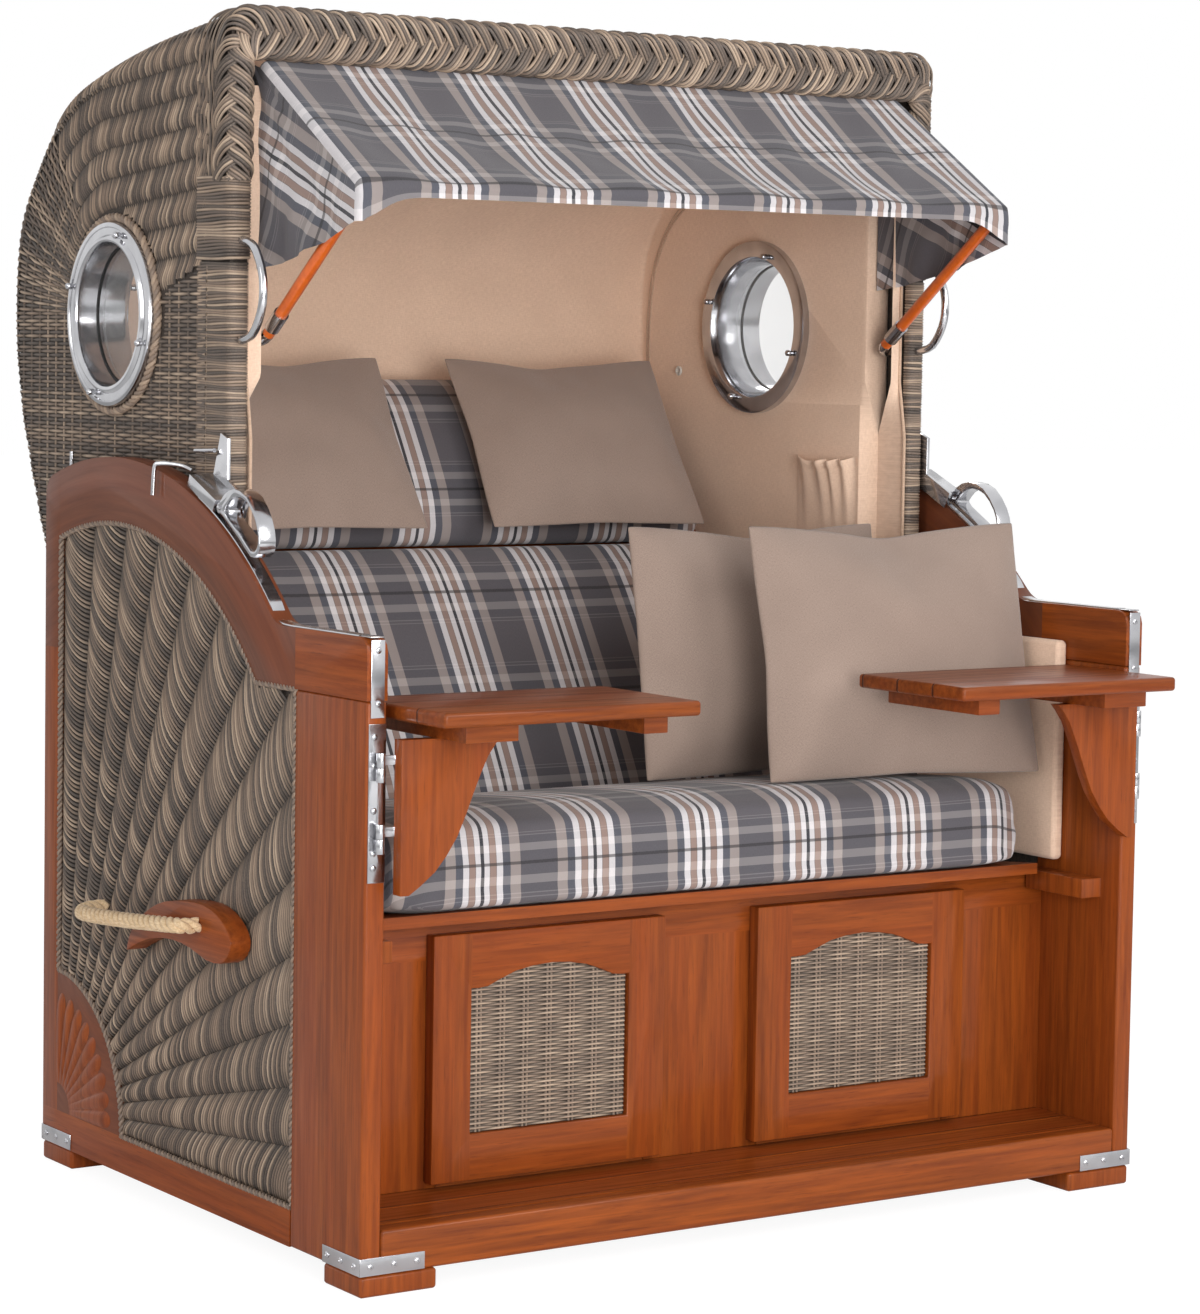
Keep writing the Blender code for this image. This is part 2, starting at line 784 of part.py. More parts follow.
def seat_line(y, below=0.0):
    """Height of the sloping seat board's top, or of a line below it."""
    return SEAT_FRONT_Z - (y - SEAT_FRONT_Y) * math.tan(SEAT_TILT) - below / math.cos(SEAT_TILT)


def seat_box():
    low = RAIL_TOP + GAP
    half = X_IN - GAP
    top = seat_line(BOX_FRONT_Y + BOX_FRONT_T, SEAT_BOARD_T + GAP)
    way = REST_BOX_W / 2 + GAP * 5
    head = low + REST_BOX_H + GAP * 5
    outline = [(-half, low), (-half, top), (half, top), (half, low)]
    for sign in (1, -1):
        right, left = sign * REST_MID_X + way, sign * REST_MID_X - way
        outline += [(right, low), (right, head), (left, head), (left, low)]
    at = BOX_FRONT_Y + BOX_FRONT_T / 2
    box = meshed(plate("seat_box", outline, BOX_FRONT_T, WOOD, facing="Y", at=at))
    rear = BOX_FRONT_Y + BOX_LENGTH
    front = BOX_FRONT_Y + BOX_FRONT_T / 2
    sides = [(front, low + GAP), (rear, low + GAP)]
    sides += [(y, seat_line(y, SEAT_BOARD_T + GAP * 2)) for y in (rear, front)]
    for name, x in (("left", -BOX_X), ("middle", 0.0), ("right", BOX_X)):
        shift = -BOX_SIDE_T / 2 if x > 0 else BOX_SIDE_T / 2 if x < 0 else 0.0
        wall = plate(f"box_{name}", sides, BOX_SIDE_T, None, at=x + shift, group=CUTTERS)
        combine(box, meshed(wall), "UNION")


def seat_board():
    rear = SEAT_FRONT_Y + SEAT_BOARD_L
    outline = [
        (SEAT_FRONT_Y, seat_line(SEAT_FRONT_Y, SEAT_BOARD_T)),
        (rear, seat_line(rear, SEAT_BOARD_T)),
        (rear, seat_line(rear)),
        (SEAT_FRONT_Y, seat_line(SEAT_FRONT_Y)),
    ]
    plate("seat_board", outline, BOX_X * 2, WOOD)


def seat_cushion():
    """Its rear face leans like the backrest, so that the two meet without touching."""
    front = SEAT_FRONT_Y - SEAT_PAD_OVER
    lean = math.tan(BACK_TILT - SEAT_TILT)
    reach = (BACK_REACH + BACK_LOWER_PROUD + RUN) / math.cos(BACK_TILT)
    foot_y = PIVOT_Y - reach + (SEAT_FRONT_Z - PIVOT_Z) * math.tan(BACK_TILT)
    drop = (foot_y - front) * math.sin(SEAT_TILT) * math.tan(BACK_TILT)
    length = (foot_y - front) / math.cos(SEAT_TILT) - drop
    outer = 1 + SEAT_CROWN / SEAT_PAD_T

    def shape(x, y, z):
        low = z < -END_SHARE
        edge = max(abs(x), abs(y))
        height = z if low else z * (outer - (outer - 0.9) * edge**4)
        draw = 1 - SEAT_DRAW_SHARE * (1.0 if abs(z) > END_SHARE else (1 - abs(z)) / 2)
        back = lean * SEAT_PAD_T * (z + 1) / length if y > END_SHARE else 0.0
        return x * draw, y * (1 - (1 - draw) * 2) + back, height

    size = (SEAT_PAD_W, length, SEAT_PAD_T)
    made = soft("seat_cushion", size, PLAID, shape, cuts=(10, 5, 3))
    middle = Vector((0.0, length / 2, SEAT_PAD_T / 2 + GAP))
    turn = Matrix.Rotation(-SEAT_TILT, 3, "X")
    start = Vector((0.0, front, seat_line(front)))
    made.location = start + turn @ middle
    made.rotation_euler = (-SEAT_TILT, 0.0, 0.0)


floor_and_rails()
seat_box()
seat_board()
seat_cushion()


# Footrests
def footrest(side, sign):
    mid = sign * REST_MID_X
    low = RAIL_TOP + REST_LIFT
    outer = [
        (mid - REST_W / 2, low),
        (mid + REST_W / 2, low),
        (mid + REST_W / 2, low + REST_H),
        (mid - REST_W / 2, low + REST_H),
    ]

    def inner(inset):
        half = REST_W / 2 - REST_STILE - inset
        foot = low + REST_RAIL + inset
        top = low + REST_SHOULDER - inset
        arch = through([(mid + half * a, top + REST_ARCH * b) for a, b in REST_ARCH_SHARES], 2)
        return [(mid - half, foot), (mid + half, foot)] + arch

    face = BOX_FRONT_Y - GAP - REST_T / 2
    front = plate(f"footrest_front_{side}", outer, REST_T, WOOD, "Y", face, (inner(0.0),))
    wicker = plate(f"footrest_wicker_{side}", inner(GAP), REST_INLAY_T, WICKER, "Y", face)
    floor = RAIL_TOP + GAP
    start = BOX_FRONT_Y
    end = start + REST_BOX_L
    half = REST_BOX_W / 2
    box = block(
        f"footrest_box_{side}",
        (mid - half, start, floor),
        (mid + half, end, floor + REST_BOX_H),
        WOOD,
    )
    hollow = block(
        f"footrest_hollow_{side}",
        (mid - half + REST_WALL, start + REST_WALL, floor - CUT_PAST),
        (mid + half - REST_WALL, end - REST_WALL, floor + REST_BOX_H - REST_WALL),
        None,
        group=CUTTERS,
    )
    combine(box, hollow, "DIFFERENCE")
    carry(axis_at(f"footrest_{side}_slide", (mid, start, floor)), front, wicker, box)


for side, sign in SIDES:
    footrest(side, sign)


# Side tables
def side_table(side, sign):
    hinge_x = sign * (X_OUT - PANEL_T / 2)
    hinge_y = Y_FRONT - HINGE_STAND
    low_x, high_x = span(sign, TABLE_OUT_X - TABLE_L, TABLE_OUT_X)
    front = TABLE_MID_Y - TABLE_W / 2
    rear = TABLE_MID_Y + TABLE_W / 2
    under = TABLE_TOP - TABLE_T
    top = block(
        f"table_top_{side}", (low_x, front, under), (high_x, rear, TABLE_TOP), WOOD, EASED
    )
    near = TABLE_OUT_X - BATTEN_END_INSET
    far = TABLE_OUT_X - TABLE_L + BATTEN_END_INSET
    for place, a, b in (("near", near - NEAR_BATTEN_W, near), ("far", far, far + FAR_BATTEN_W)):
        low_x, high_x = span(sign, a, b)
        batten = block(
            f"batten_{place}_{side}",
            (low_x, front + BATTEN_INSET_Y, under - BATTEN_H),
            (high_x, rear - BATTEN_INSET_Y, under + TABLE_T / 2),
            None,
            group=CUTTERS,
        )
        combine(top, batten, "UNION")
    head = under - BATTEN_H - GAP
    foot = head - BRACKET_H
    end_x = X_OUT - PANEL_T / 2 - BRACKET_CLEAR_X
    edge = [(sign * (end_x - a * BRACKET_W), head - b * BRACKET_H) for a, b in BRACKET_EDGE_SHARES]
    outline = [(sign * end_x, head)] + through(edge, 2) + [(sign * end_x, foot)]
    board_y = hinge_y - HINGE_WEB / 2 - BRACKET_T / 2
    bracket = meshed(plate(f"table_bracket_{side}", outline, BRACKET_T, WOOD, "Y", board_y))
    leaf_top = head + KNUCKLE_H
    leaf_low_x, leaf_high_x = span(
        sign, X_OUT - PANEL_T / 2 - HINGE_LEAF_W / 2, X_OUT - PANEL_T / 2 + HINGE_LEAF_W / 2
    )
    leaf = block(
        f"table_hinge_{side}",
        (leaf_low_x, Y_FRONT - GAP - HINGE_LEAF_T, leaf_top - HINGE_LEAF_H),
        (leaf_high_x, Y_FRONT - GAP, leaf_top),
        CHROME,
    )
    for number, share in enumerate(HINGE_PLACE_SHARES):
        z = leaf_top - share * HINGE_LEAF_H
        mark = f"{number}_{side}"
        start = (hinge_x, hinge_y, z - GAP / 2)
        foot = (hinge_x, hinge_y, z - KNUCKLE_H)
        low = rod(f"knuckle_low_{mark}", foot, start, HINGE_R, None, group=CUTTERS)
        combine(leaf, low, "UNION")
        web = block(
            f"web_{mark}",
            (hinge_x - HINGE_WEB / 2, hinge_y + HINGE_R / 2, z - KNUCKLE_H * 0.9),
            (hinge_x + HINGE_WEB / 2, Y_FRONT - GAP - HINGE_LEAF_T / 2, z - KNUCKLE_H * 0.1),
            None,
            group=CUTTERS,
        )
        combine(leaf, web, "UNION")
        start = (hinge_x, hinge_y, z + GAP / 2)
        head = (hinge_x, hinge_y, z + KNUCKLE_H)
        high = rod(f"knuckle_high_{mark}", start, head, HINGE_R, None, group=CUTTERS)
        low_x, high_x = span(sign, end_x - BRACKET_T / 2, X_OUT - PANEL_T / 2 - HINGE_R / 2)
        strap = block(
            f"strap_{mark}",
            (low_x, hinge_y - HINGE_WEB * 1.5, z + GAP / 2 + KNUCKLE_H / 6),
            (high_x, hinge_y - HINGE_WEB / 4, z + KNUCKLE_H - KNUCKLE_H / 6),
            None,
            group=CUTTERS,
        )
        combine(bracket, high, "UNION")
        combine(bracket, strap, "UNION")
    carry(axis_at(f"table_{side}_hinge", (hinge_x, hinge_y, under)), top, bracket)


for side, sign in SIDES:
    side_table(side, sign)


# Hood
HOOD_AXIS = axis_at("hood_pivot", (0.0, PIVOT_Y, PIVOT_Z))


def porthole_cutter(name):
    far = HOOD_X + CUT_PAST
    start = (-far, PORT_Y, PORT_Z)
    end = (far, PORT_Y, PORT_Z)
    return rod(name, start, end, PORT_BORE_R + PORT_WALL + GAP, None, 32, CUTTERS)


def rounded_plate(name, outline, thickness, radius, material, group=PARTS):
    """A plate facing X whose long edges are rounded, for a hood's body or the room inside it."""
    made = meshed(plate(name, outline, thickness, material, group=group))
    shell = bmesh.new()
    shell.from_mesh(made.data)
    flat = math.radians(0.5)
    bmesh.ops.dissolve_limit(shell, angle_limit=flat, verts=shell.verts, edges=shell.edges)
    shell.to_mesh(made.data)
    shell.free()
    edge = made.modifiers.new("rounded", "BEVEL")
    edge.width = radius
    edge.segments = 3
    edge.limit_method = "ANGLE"
    edge.angle_limit = math.radians(60)
    return made


def hollow_body(name, path, half, wall, radius, low_front, material):
    """A hood-shaped body with rounded edges, hollow, and open to the front and below."""
    front, top = path[0]
    back, low = path[-1]
    past = radius + CUT_PAST

    def lengthened(line):
        ahead = (front - past, line[0][1])
        return [ahead] + line + [(line[-1][0], low - past), (ahead[0], low - past)]

    body = rounded_plate(name, lengthened(path), half * 2, radius, material)
    inside = lengthened(beside(path, wall))
    room = rounded_plate(
        f"{name}_room", inside, (half - wall) * 2, radius - wall, None, CUTTERS
    )
    combine(body, room, "DIFFERENCE")
    slope = (low_front - low) / (back - front)
    far = past * 3
    edge = [(front, top + far), (front, low_front), (back + far, low - far * slope)]
    edge += [(back + far, low - far * 2), (front - far, low - far * 2), (front - far, top + far)]
    trim = meshed(plate(f"{name}_trim", edge, half * 3, None, group=CUTTERS))
    combine(body, trim, "DIFFERENCE")
    return body


def hood_shell():
    path = hood_path()
    body = hollow_body("hood_shell", path, HOOD_X, HOOD_WALL, HOOD_EDGE_R, POST_FOOT_Z, WICKER)
    combine(body, porthole_cutter("shell_ports"), "DIFFERENCE")
    return body


def hood_lining():
    path = beside(hood_path(), HOOD_WALL + GAP)
    path[0] = (HOOD_FRONT_Y + RIM_D + GAP, path[0][1])
    path[-1] = (path[-1][0], LINING_BACK_LOW)
    half = LINING_IN + LINING_T
    radius = HOOD_EDGE_R - HOOD_WALL
    body = hollow_body("hood_lining", path, half, LINING_T, radius, LINING_FOOT_Z, CANVAS)
    front = path[0][0]
    for side, sign in SIDES:
        low_x, high_x = span(sign, LINING_IN + LINING_T / 2, HOOD_X - HOOD_WALL - GAP)
        flange = block(
            f"lining_edge_{side}",
            (low_x, front, LINING_FOOT_Z + GAP),
            (high_x, front + LINING_T, path[0][1] - HOOD_EDGE_R),
            None,
            group=CUTTERS,
        )
        combine(body, flange, "UNION")
    combine(body, porthole_cutter("lining_ports"), "DIFFERENCE")
    return body


def hood_rim():
    """The wound posts and the braided beam over them."""
    outer = [(-HOOD_X, POST_FOOT_Z)]
    top = HOOD_TOP - RIM_CORNER_R
    outer += arc((-HOOD_X + RIM_CORNER_R, top), RIM_CORNER_R, math.pi, math.pi / 2, 4)
    outer += arc((HOOD_X - RIM_CORNER_R, top), RIM_CORNER_R, math.pi / 2, 0.0, 4)
    outer += [(HOOD_X, POST_FOOT_Z), (POST_IN, POST_FOOT_Z)]
    under = HOOD_TOP - RIM_H
    outer += [(POST_IN, under), (-POST_IN, under), (-POST_IN, POST_FOOT_Z)]
    at = HOOD_FRONT_Y + RIM_D / 2
    rim = meshed(plate("hood_rim", outer, RIM_D, WICKER, facing="Y", at=at))
    bevel = rim.modifiers.new("rounded", "BEVEL")
    bevel.width = RIM_ROUND
    bevel.segments = 3
    bevel.limit_method = "ANGLE"
    return rim


def hood_arm(side, sign):
    boss = arc((PIVOT_Y, PIVOT_Z), ARM_BOSS_R, math.pi / 6, -math.pi * 5 / 6, 8)
    top = POST_FOOT_Z - GAP
    outline = [(HOOD_FRONT_Y, top), (HOOD_FRONT_Y + RIM_D, top)] + boss
    mid = sign * (POST_IN + HOOD_X) / 2
    arm = meshed(plate(f"hood_arm_{side}", outline, POST_W, WOOD, at=mid))
    start = (sign * (POST_IN - CUT_PAST), PIVOT_Y, PIVOT_Z)
    end = (sign * (HOOD_X + CUT_PAST), PIVOT_Y, PIVOT_Z)
    bore = rod(f"arm_bore_{side}", start, end, PIN_R + GAP, None, group=CUTTERS)
    combine(arm, bore, "DIFFERENCE")
    return arm


def porthole(side, sign):
    out_face = HOOD_X + GAP
    in_face = LINING_IN - GAP
    wall_r = PORT_BORE_R + PORT_WALL
    profile = (
        (PORT_BORE_R, out_face + PORT_FLANGE_T),
        (PORT_OUT_R, out_face + PORT_FLANGE_T),
        (PORT_OUT_R, out_face),
        (wall_r, out_face),
        (wall_r, in_face),
        (PORT_IN_R, in_face),
        (PORT_IN_R, in_face - PORT_FLANGE_T),
        (PORT_BORE_R, in_face - PORT_FLANGE_T),
    )
    place = (0.0, PORT_Y, PORT_Z)
    ring = turned(f"porthole_{side}", profile, CHROME, place, sign, 32, closed=True)
    mid = sign * (out_face + in_face) / 2
    start = (mid - GLASS_T / 2, PORT_Y, PORT_Z)
    end = (mid + GLASS_T / 2, PORT_Y, PORT_Z)
    pane_r = PORT_BORE_R - GAP * 2
    return ring, rod(f"porthole_glass_{side}", start, end, pane_r, CLEAR, 32)


def leaning(made, x, y, z):
    """Places a piece in the backrest's frame: X across, Y out of the back, Z up along it."""
    turn = Matrix.Rotation(-BACK_TILT, 3, "X")
    made.location = Vector((0.0, PIVOT_Y, PIVOT_Z)) + turn @ Vector((x, y, z))
    made.rotation_euler = (-BACK_TILT, 0.0, 0.0)
    return made


def pad_shape(crown):
    """A boxed cushion: crowned faces, sides drawn in between the corners."""

    def shape(x, y, z):
        edge = max(abs(x), abs(z))
        deep = 1 - crown * edge**4
        draw = 1 - 0.012 * (1 - min(abs(x), abs(z)) ** 2)
        return x * draw, y * deep, z * draw

    return shape


def pillow_shape(x, y, z):
    """A pillow: a lens with thin edges, sides drawn in and corners left out."""
    thick = (1 - 0.80 * abs(x) ** 3) * (1 - 0.80 * abs(z) ** 3)
    ear = 1 + 0.10 * abs(x * z) ** 3
    pull_x = 1 - 0.070 * (1 - z * z)
    pull_z = 1 - 0.080 * (1 - x * x)
    return x * pull_x * ear, y * thick, z * pull_z * ear


def backrest():
    board_y = -(BACK_REACH - BACK_PAD_T - GAP - BACK_BOARD_T / 2)
    split = BACK_LENGTH * BACK_SPLIT_SHARE
    half = LINING_IN - GAP
    low = (-half, -BACK_BOARD_T / 2, -BACK_LENGTH / 2)
    high = (half, BACK_BOARD_T / 2, BACK_LENGTH / 2)
    board = block("backrest_board", low, high, WOOD)
    leaning(board, 0.0, board_y, BACK_LENGTH / 2)
    pads = [board]
    lower_t = BACK_PAD_T + BACK_LOWER_PROUD
    size = (BACK_HALF_W * 2, lower_t, split - GAP)
    pad = soft("back_cushion_lower", size, PLAID, pad_shape(0.35), cuts=(8, 2, 5))
    front_y = -(BACK_REACH + BACK_LOWER_PROUD)
    pads.append(leaning(pad, 0.0, front_y + lower_t / 2, (split - GAP) / 2))
    size = (BACK_HALF_W * 2, BACK_PAD_T, BACK_LENGTH - split)
    pad = soft("back_cushion_upper", size, PLAID, pad_shape(0.35), cuts=(8, 2, 4))
    pads.append(leaning(pad, 0.0, -BACK_REACH + BACK_PAD_T / 2, (split + BACK_LENGTH) / 2))
    for side, sign in SIDES:
        size = (NECK_W, NECK_T, NECK_H)
        pillow = soft(f"neck_pillow_{side}", size, TAUPE, pillow_shape, cuts=(5, 2, 5))
        y = -BACK_REACH - GAP + NECK_SINK - NECK_T / 2
        pads.append(leaning(pillow, sign * NECK_MID_X, y, split - NECK_DROP + NECK_H / 2))
    return pads


def grab_handle(side, sign):
    x = sign * (POST_IN + HOOD_X) / 2
    face = HOOD_FRONT_Y - GAP
    half = GRAB_H / 2
    bow = [(x, face - GRAB_OUT * out, GRAB_Z + half * up) for out, up in GRAB_SHARES]
    bow = [(x, face - GRAB_R, GRAB_Z + half), *bow, (x, face - GRAB_R, GRAB_Z - half)]
    path = [(x, face, GRAB_Z + half), *through(bow, 3), (x, face, GRAB_Z - half)]
    return tube(f"grab_handle_{side}", path, GRAB_R, CHROME)


def on_arch(angle, out):
    """A point at an angle round the hood pivot, a distance outside the panel's arch."""
    reach = ARCH_R + out
    return PIVOT_Y + reach * math.cos(angle), PIVOT_Z + reach * math.sin(angle)


def latch(side, sign):
    """The bracket that rides over the arch, and the sprung grip pinned to it."""
    face = HOOD_X + GAP
    turn = LATCH_PLATE_L / ARCH_R
    tail = LATCH_PIN_ANGLE + GRIP_EYE / ARCH_R
    under, over = LATCH_OFF, LATCH_OFF + LATCH_FOOT_H + GRIP_EYE
    web = [on_arch(a, under) for a in (LATCH_BACK_ANGLE, (LATCH_BACK_ANGLE + tail) / 2, tail)]
    web += [on_arch(tail, over), on_arch(LATCH_BACK_ANGLE + turn, over)]
    web += [on_arch(LATCH_BACK_ANGLE + turn / 2, LATCH_PLATE_H + under)]
    web += [on_arch(LATCH_BACK_ANGLE, LATCH_PLATE_H + under)]
    bracket = meshed(
        plate(f"latch_plate_{side}", web, LATCH_T, CHROME, at=sign * (face + LATCH_T / 2))
    )
    eye_end = LATCH_PIN_ANGLE - (GRIP_EYE + RUN / 2) / ARCH_R
    foot = [on_arch(LATCH_BACK_ANGLE, under), on_arch(eye_end, under)]
    foot += [on_arch(eye_end, under + LATCH_FOOT_H), on_arch(LATCH_BACK_ANGLE, under + LATCH_FOOT_H)]
    depth = LATCH_FOOT_X - LATCH_T / 2
    at = sign * (face + LATCH_T / 2 + depth / 2)
    pad = meshed(plate(f"latch_foot_{side}", foot, depth, None, at=at, group=CUTTERS))
    combine(bracket, pad, "UNION")
    eye = on_arch(LATCH_PIN_ANGLE, LATCH_PIN_OFF)
    start = (sign * (face + LATCH_T / 2), *eye)
    end = (sign * (face + LATCH_FOOT_X), *eye)
    pin = rod(f"latch_pin_{side}", start, end, LATCH_PIN_R, None, 12, CUTTERS)
    combine(bracket, pin, "UNION")

    along = Vector((-math.sin(LATCH_PIN_ANGLE), math.cos(LATCH_PIN_ANGLE)))
    up = Vector((math.cos(LATCH_PIN_ANGLE), math.sin(LATCH_PIN_ANGLE)))

    def ring(inset, start_at):
        lengths = GRIP_L - inset * 2 - start_at
        heights = GRIP_H - inset * 2
        closed = through([*GRIP_SHARES, GRIP_SHARES[0]], 2)[:-1]
        base = Vector(eye) + along * (start_at + inset) + up * (inset - LATCH_PIN_OFF / 2 + RUN / 2)
        points = []
        for a, b in closed:
            place = base + along * (a * lengths) + up * (b * heights)
            points.append((place.x, place.y))
        return points

    x_mid = sign * (face + LATCH_REACH + GRIP_W / 2)
    outline, inner = ring(0.0, -GRIP_EYE / 2), ring(GRIP_BAND, GRIP_EYE)
    grip = meshed(plate(f"latch_grip_{side}", outline, GRIP_W, CHROME, at=x_mid, holes=(inner,)))
    boss_a = (x_mid - GRIP_W / 2, *eye)
    boss_b = (x_mid + GRIP_W / 2, *eye)
    boss = rod(f"grip_eye_{side}", boss_a, boss_b, GRIP_EYE * 0.9, None, 16, CUTTERS)
    combine(grip, boss, "UNION")
    start = (sign * (face - CUT_PAST), *eye)
    end = (sign * (face + LATCH_FOOT_X + CUT_PAST), *eye)
    bore = rod(f"grip_bore_{side}", start, end, LATCH_PIN_R + GAP, None, 12, CUTTERS)
    combine(grip, bore, "DIFFERENCE")
    axis = axis_at(f"latch_{side}_pin", (0.0, *eye))
    carry(axis, grip)
    carry(HOOD_AXIS, bracket, axis)


carry(HOOD_AXIS, hood_shell(), hood_lining(), hood_rim(), *backrest())
for side, sign in SIDES:
    carry(HOOD_AXIS, hood_arm(side, sign), *porthole(side, sign), grab_handle(side, sign))
    latch(side, sign)


# Awning
def awning_frame():
    """One tube bent into two arms and the bar in the cloth's front hem."""
    reach = AWN_ARM_L - AWN_BEND_R
    forward, rise = -math.cos(AWN_ARM_RISE), math.sin(AWN_ARM_RISE)
    stub_x = POST_IN - GAP
    half = []
    turn_r = AWN_TUBE_R * 2
    for step in range(4):
        t = math.pi / 2 * step / 3
        x = AWN_ARM_X + turn_r * (1 - math.sin(t))
        out = turn_r * (1 - math.cos(t))
        half.append((x, AWN_PIVOT_Y + out * forward, AWN_PIVOT_Z + out * rise))
    for step in range(5):
        t = math.pi / 2 * step / 4
        x = AWN_ARM_X - AWN_BEND_R * (1 - math.cos(t))
        out = reach + AWN_BEND_R * math.sin(t)
        half.append((x, AWN_PIVOT_Y + out * forward, AWN_PIVOT_Z + out * rise))
    half = [(stub_x, AWN_PIVOT_Y, AWN_PIVOT_Z)] + half
    mirrored = [(-x, y, z) for x, y, z in reversed(half)]
    return tube("awning_frame", half + mirrored, AWN_TUBE_R, COATED)


def awning_cloth():
    """One sheet: over the bar to its hem, and a three-cornered gusset at each side."""
    top_y = HOOD_FRONT_Y + AWN_TUBE_R
    top_z = HOOD_TOP - RIM_H - GAP - AWN_CLOTH_T / 2
    bar_y = AWN_PIVOT_Y - AWN_ARM_L * math.cos(AWN_ARM_RISE)
    bar_z = AWN_PIVOT_Z + AWN_ARM_L * math.sin(AWN_ARM_RISE)
    clear = AWN_TUBE_R + AWN_CLOTH_T + AWN_DROP
    slope = math.atan2(bar_z - top_z, bar_y - top_y)
    over_y = bar_y + math.sin(slope) * clear
    over_z = bar_z + clear * 1.1
    rows = []
    count = 5
    for row in range(count):
        t = row / (count - 1)
        y = top_y + (over_y - top_y) * t
        z = top_z + (over_z - top_z) * t
        rows.append((y, z))
    rows.append((bar_y - clear, bar_z - clear / 4))
    rows.append((bar_y - clear * 0.9, bar_z - AWN_HEM))
    columns = 12
    last = len(rows) - 1
    shell = bmesh.new()
    grid = []
    for row, (y, z) in enumerate(rows):
        down = row / last
        rear_z = top_z + (AWN_REAR_Z - top_z) * down
        line = [shell.verts.new((-AWN_CLOTH_X, AWN_REAR_Y, rear_z))]
        for column in range(columns + 1):
            across = 2 * column / columns - 1
            sag = AWN_SAG * math.sin(math.pi * min(row / (count - 1), 1.0)) * (1 - across**2)
            drop = AWN_CORNER_DROP * (row == last) * (abs(across) == 1)
            line.append(shell.verts.new((across * AWN_CLOTH_X, y, z + sag / 2 - drop)))
        line.append(shell.verts.new((AWN_CLOTH_X, AWN_REAR_Y, rear_z)))
        grid.append(line)
    for upper, lower in zip(grid, grid[1:]):
        for a, b, c, d in zip(upper, upper[1:], lower[1:], lower):
            shell.faces.new((a, b, c, d))
    bmesh.ops.recalc_face_normals(shell, faces=shell.faces)
    mesh = bpy.data.meshes.new("awning_cloth")
    shell.to_mesh(mesh)
    shell.free()
    made = add("awning_cloth", mesh, PLAID)
    wall = made.modifiers.new("cloth", "SOLIDIFY")
    wall.thickness = AWN_CLOTH_T
    wall.offset = 0.0
    return made


AWNING_AXIS = axis_at("awning_pivot", (0.0, AWN_PIVOT_Y, AWN_PIVOT_Z))
carry(AWNING_AXIS, awning_frame())
carry(HOOD_AXIS, AWNING_AXIS, awning_cloth())


# Loose pillows on the seat
def loose_pillow(name, x, y, lean, turn, lift):
    made = soft(name, (PILLOW_W, PILLOW_T, PILLOW_H), TAUPE, pillow_shape, cuts=(5, 2, 5))
    foot = y - PILLOW_H / 2 * math.sin(lean)
    rest = seat_line(foot) + SEAT_PAD_T + lift
    made.location = (x, y, rest + PILLOW_H / 2 * math.cos(lean))
    made.rotation_euler = (-lean, 0.0, turn)


front_place = (FRONT_PILLOW_X, FRONT_PILLOW_Y, FRONT_PILLOW_LEAN, FRONT_PILLOW_TURN)
loose_pillow("pillow_front", *front_place, FRONT_PILLOW_LIFT)
loose_pillow("pillow_back", BACK_PILLOW_X, BACK_PILLOW_Y, BACK_PILLOW_LEAN, 0.0, BACK_PILLOW_LIFT)

# The model's origin lies under the middle of its whole length
for piece in PARTS.objects:
    if piece.parent is None:
        piece.location.y += FRAME_SHIFT_Y
for cutter in CUTTERS.objects:
    cutter.location.y += FRAME_SHIFT_Y
bpy.context.view_layer.update()
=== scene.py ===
"""Looks of a two-seat hooded beach chair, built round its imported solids. Metres, +Z up, front at -Y."""

import json
import math
import random

import bmesh
import bpy
import numpy as np
from mathutils import Matrix, Vector

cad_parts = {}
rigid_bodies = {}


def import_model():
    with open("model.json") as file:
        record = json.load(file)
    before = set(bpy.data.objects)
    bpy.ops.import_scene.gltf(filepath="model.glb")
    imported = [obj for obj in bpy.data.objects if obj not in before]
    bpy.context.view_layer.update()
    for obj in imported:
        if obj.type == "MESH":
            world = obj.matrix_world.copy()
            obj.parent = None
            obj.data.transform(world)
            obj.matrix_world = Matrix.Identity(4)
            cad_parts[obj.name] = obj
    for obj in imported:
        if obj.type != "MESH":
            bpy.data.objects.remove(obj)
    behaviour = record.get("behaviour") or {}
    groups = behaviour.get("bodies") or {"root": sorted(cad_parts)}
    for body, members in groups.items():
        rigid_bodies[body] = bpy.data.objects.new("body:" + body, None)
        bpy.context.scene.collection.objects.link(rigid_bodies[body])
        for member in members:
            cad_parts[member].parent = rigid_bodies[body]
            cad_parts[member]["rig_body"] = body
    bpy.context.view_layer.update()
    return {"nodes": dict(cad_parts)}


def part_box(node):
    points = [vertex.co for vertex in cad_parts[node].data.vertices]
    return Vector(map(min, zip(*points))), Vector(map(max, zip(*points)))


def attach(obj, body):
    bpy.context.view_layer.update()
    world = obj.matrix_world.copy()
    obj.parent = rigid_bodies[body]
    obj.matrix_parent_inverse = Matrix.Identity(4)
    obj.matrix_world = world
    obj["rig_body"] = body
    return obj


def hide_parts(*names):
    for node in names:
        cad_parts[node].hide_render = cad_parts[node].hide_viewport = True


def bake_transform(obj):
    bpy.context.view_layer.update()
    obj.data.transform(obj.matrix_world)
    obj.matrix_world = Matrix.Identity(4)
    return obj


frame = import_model()
node = frame["nodes"]
SIDES = (("left", -1), ("right", 1))


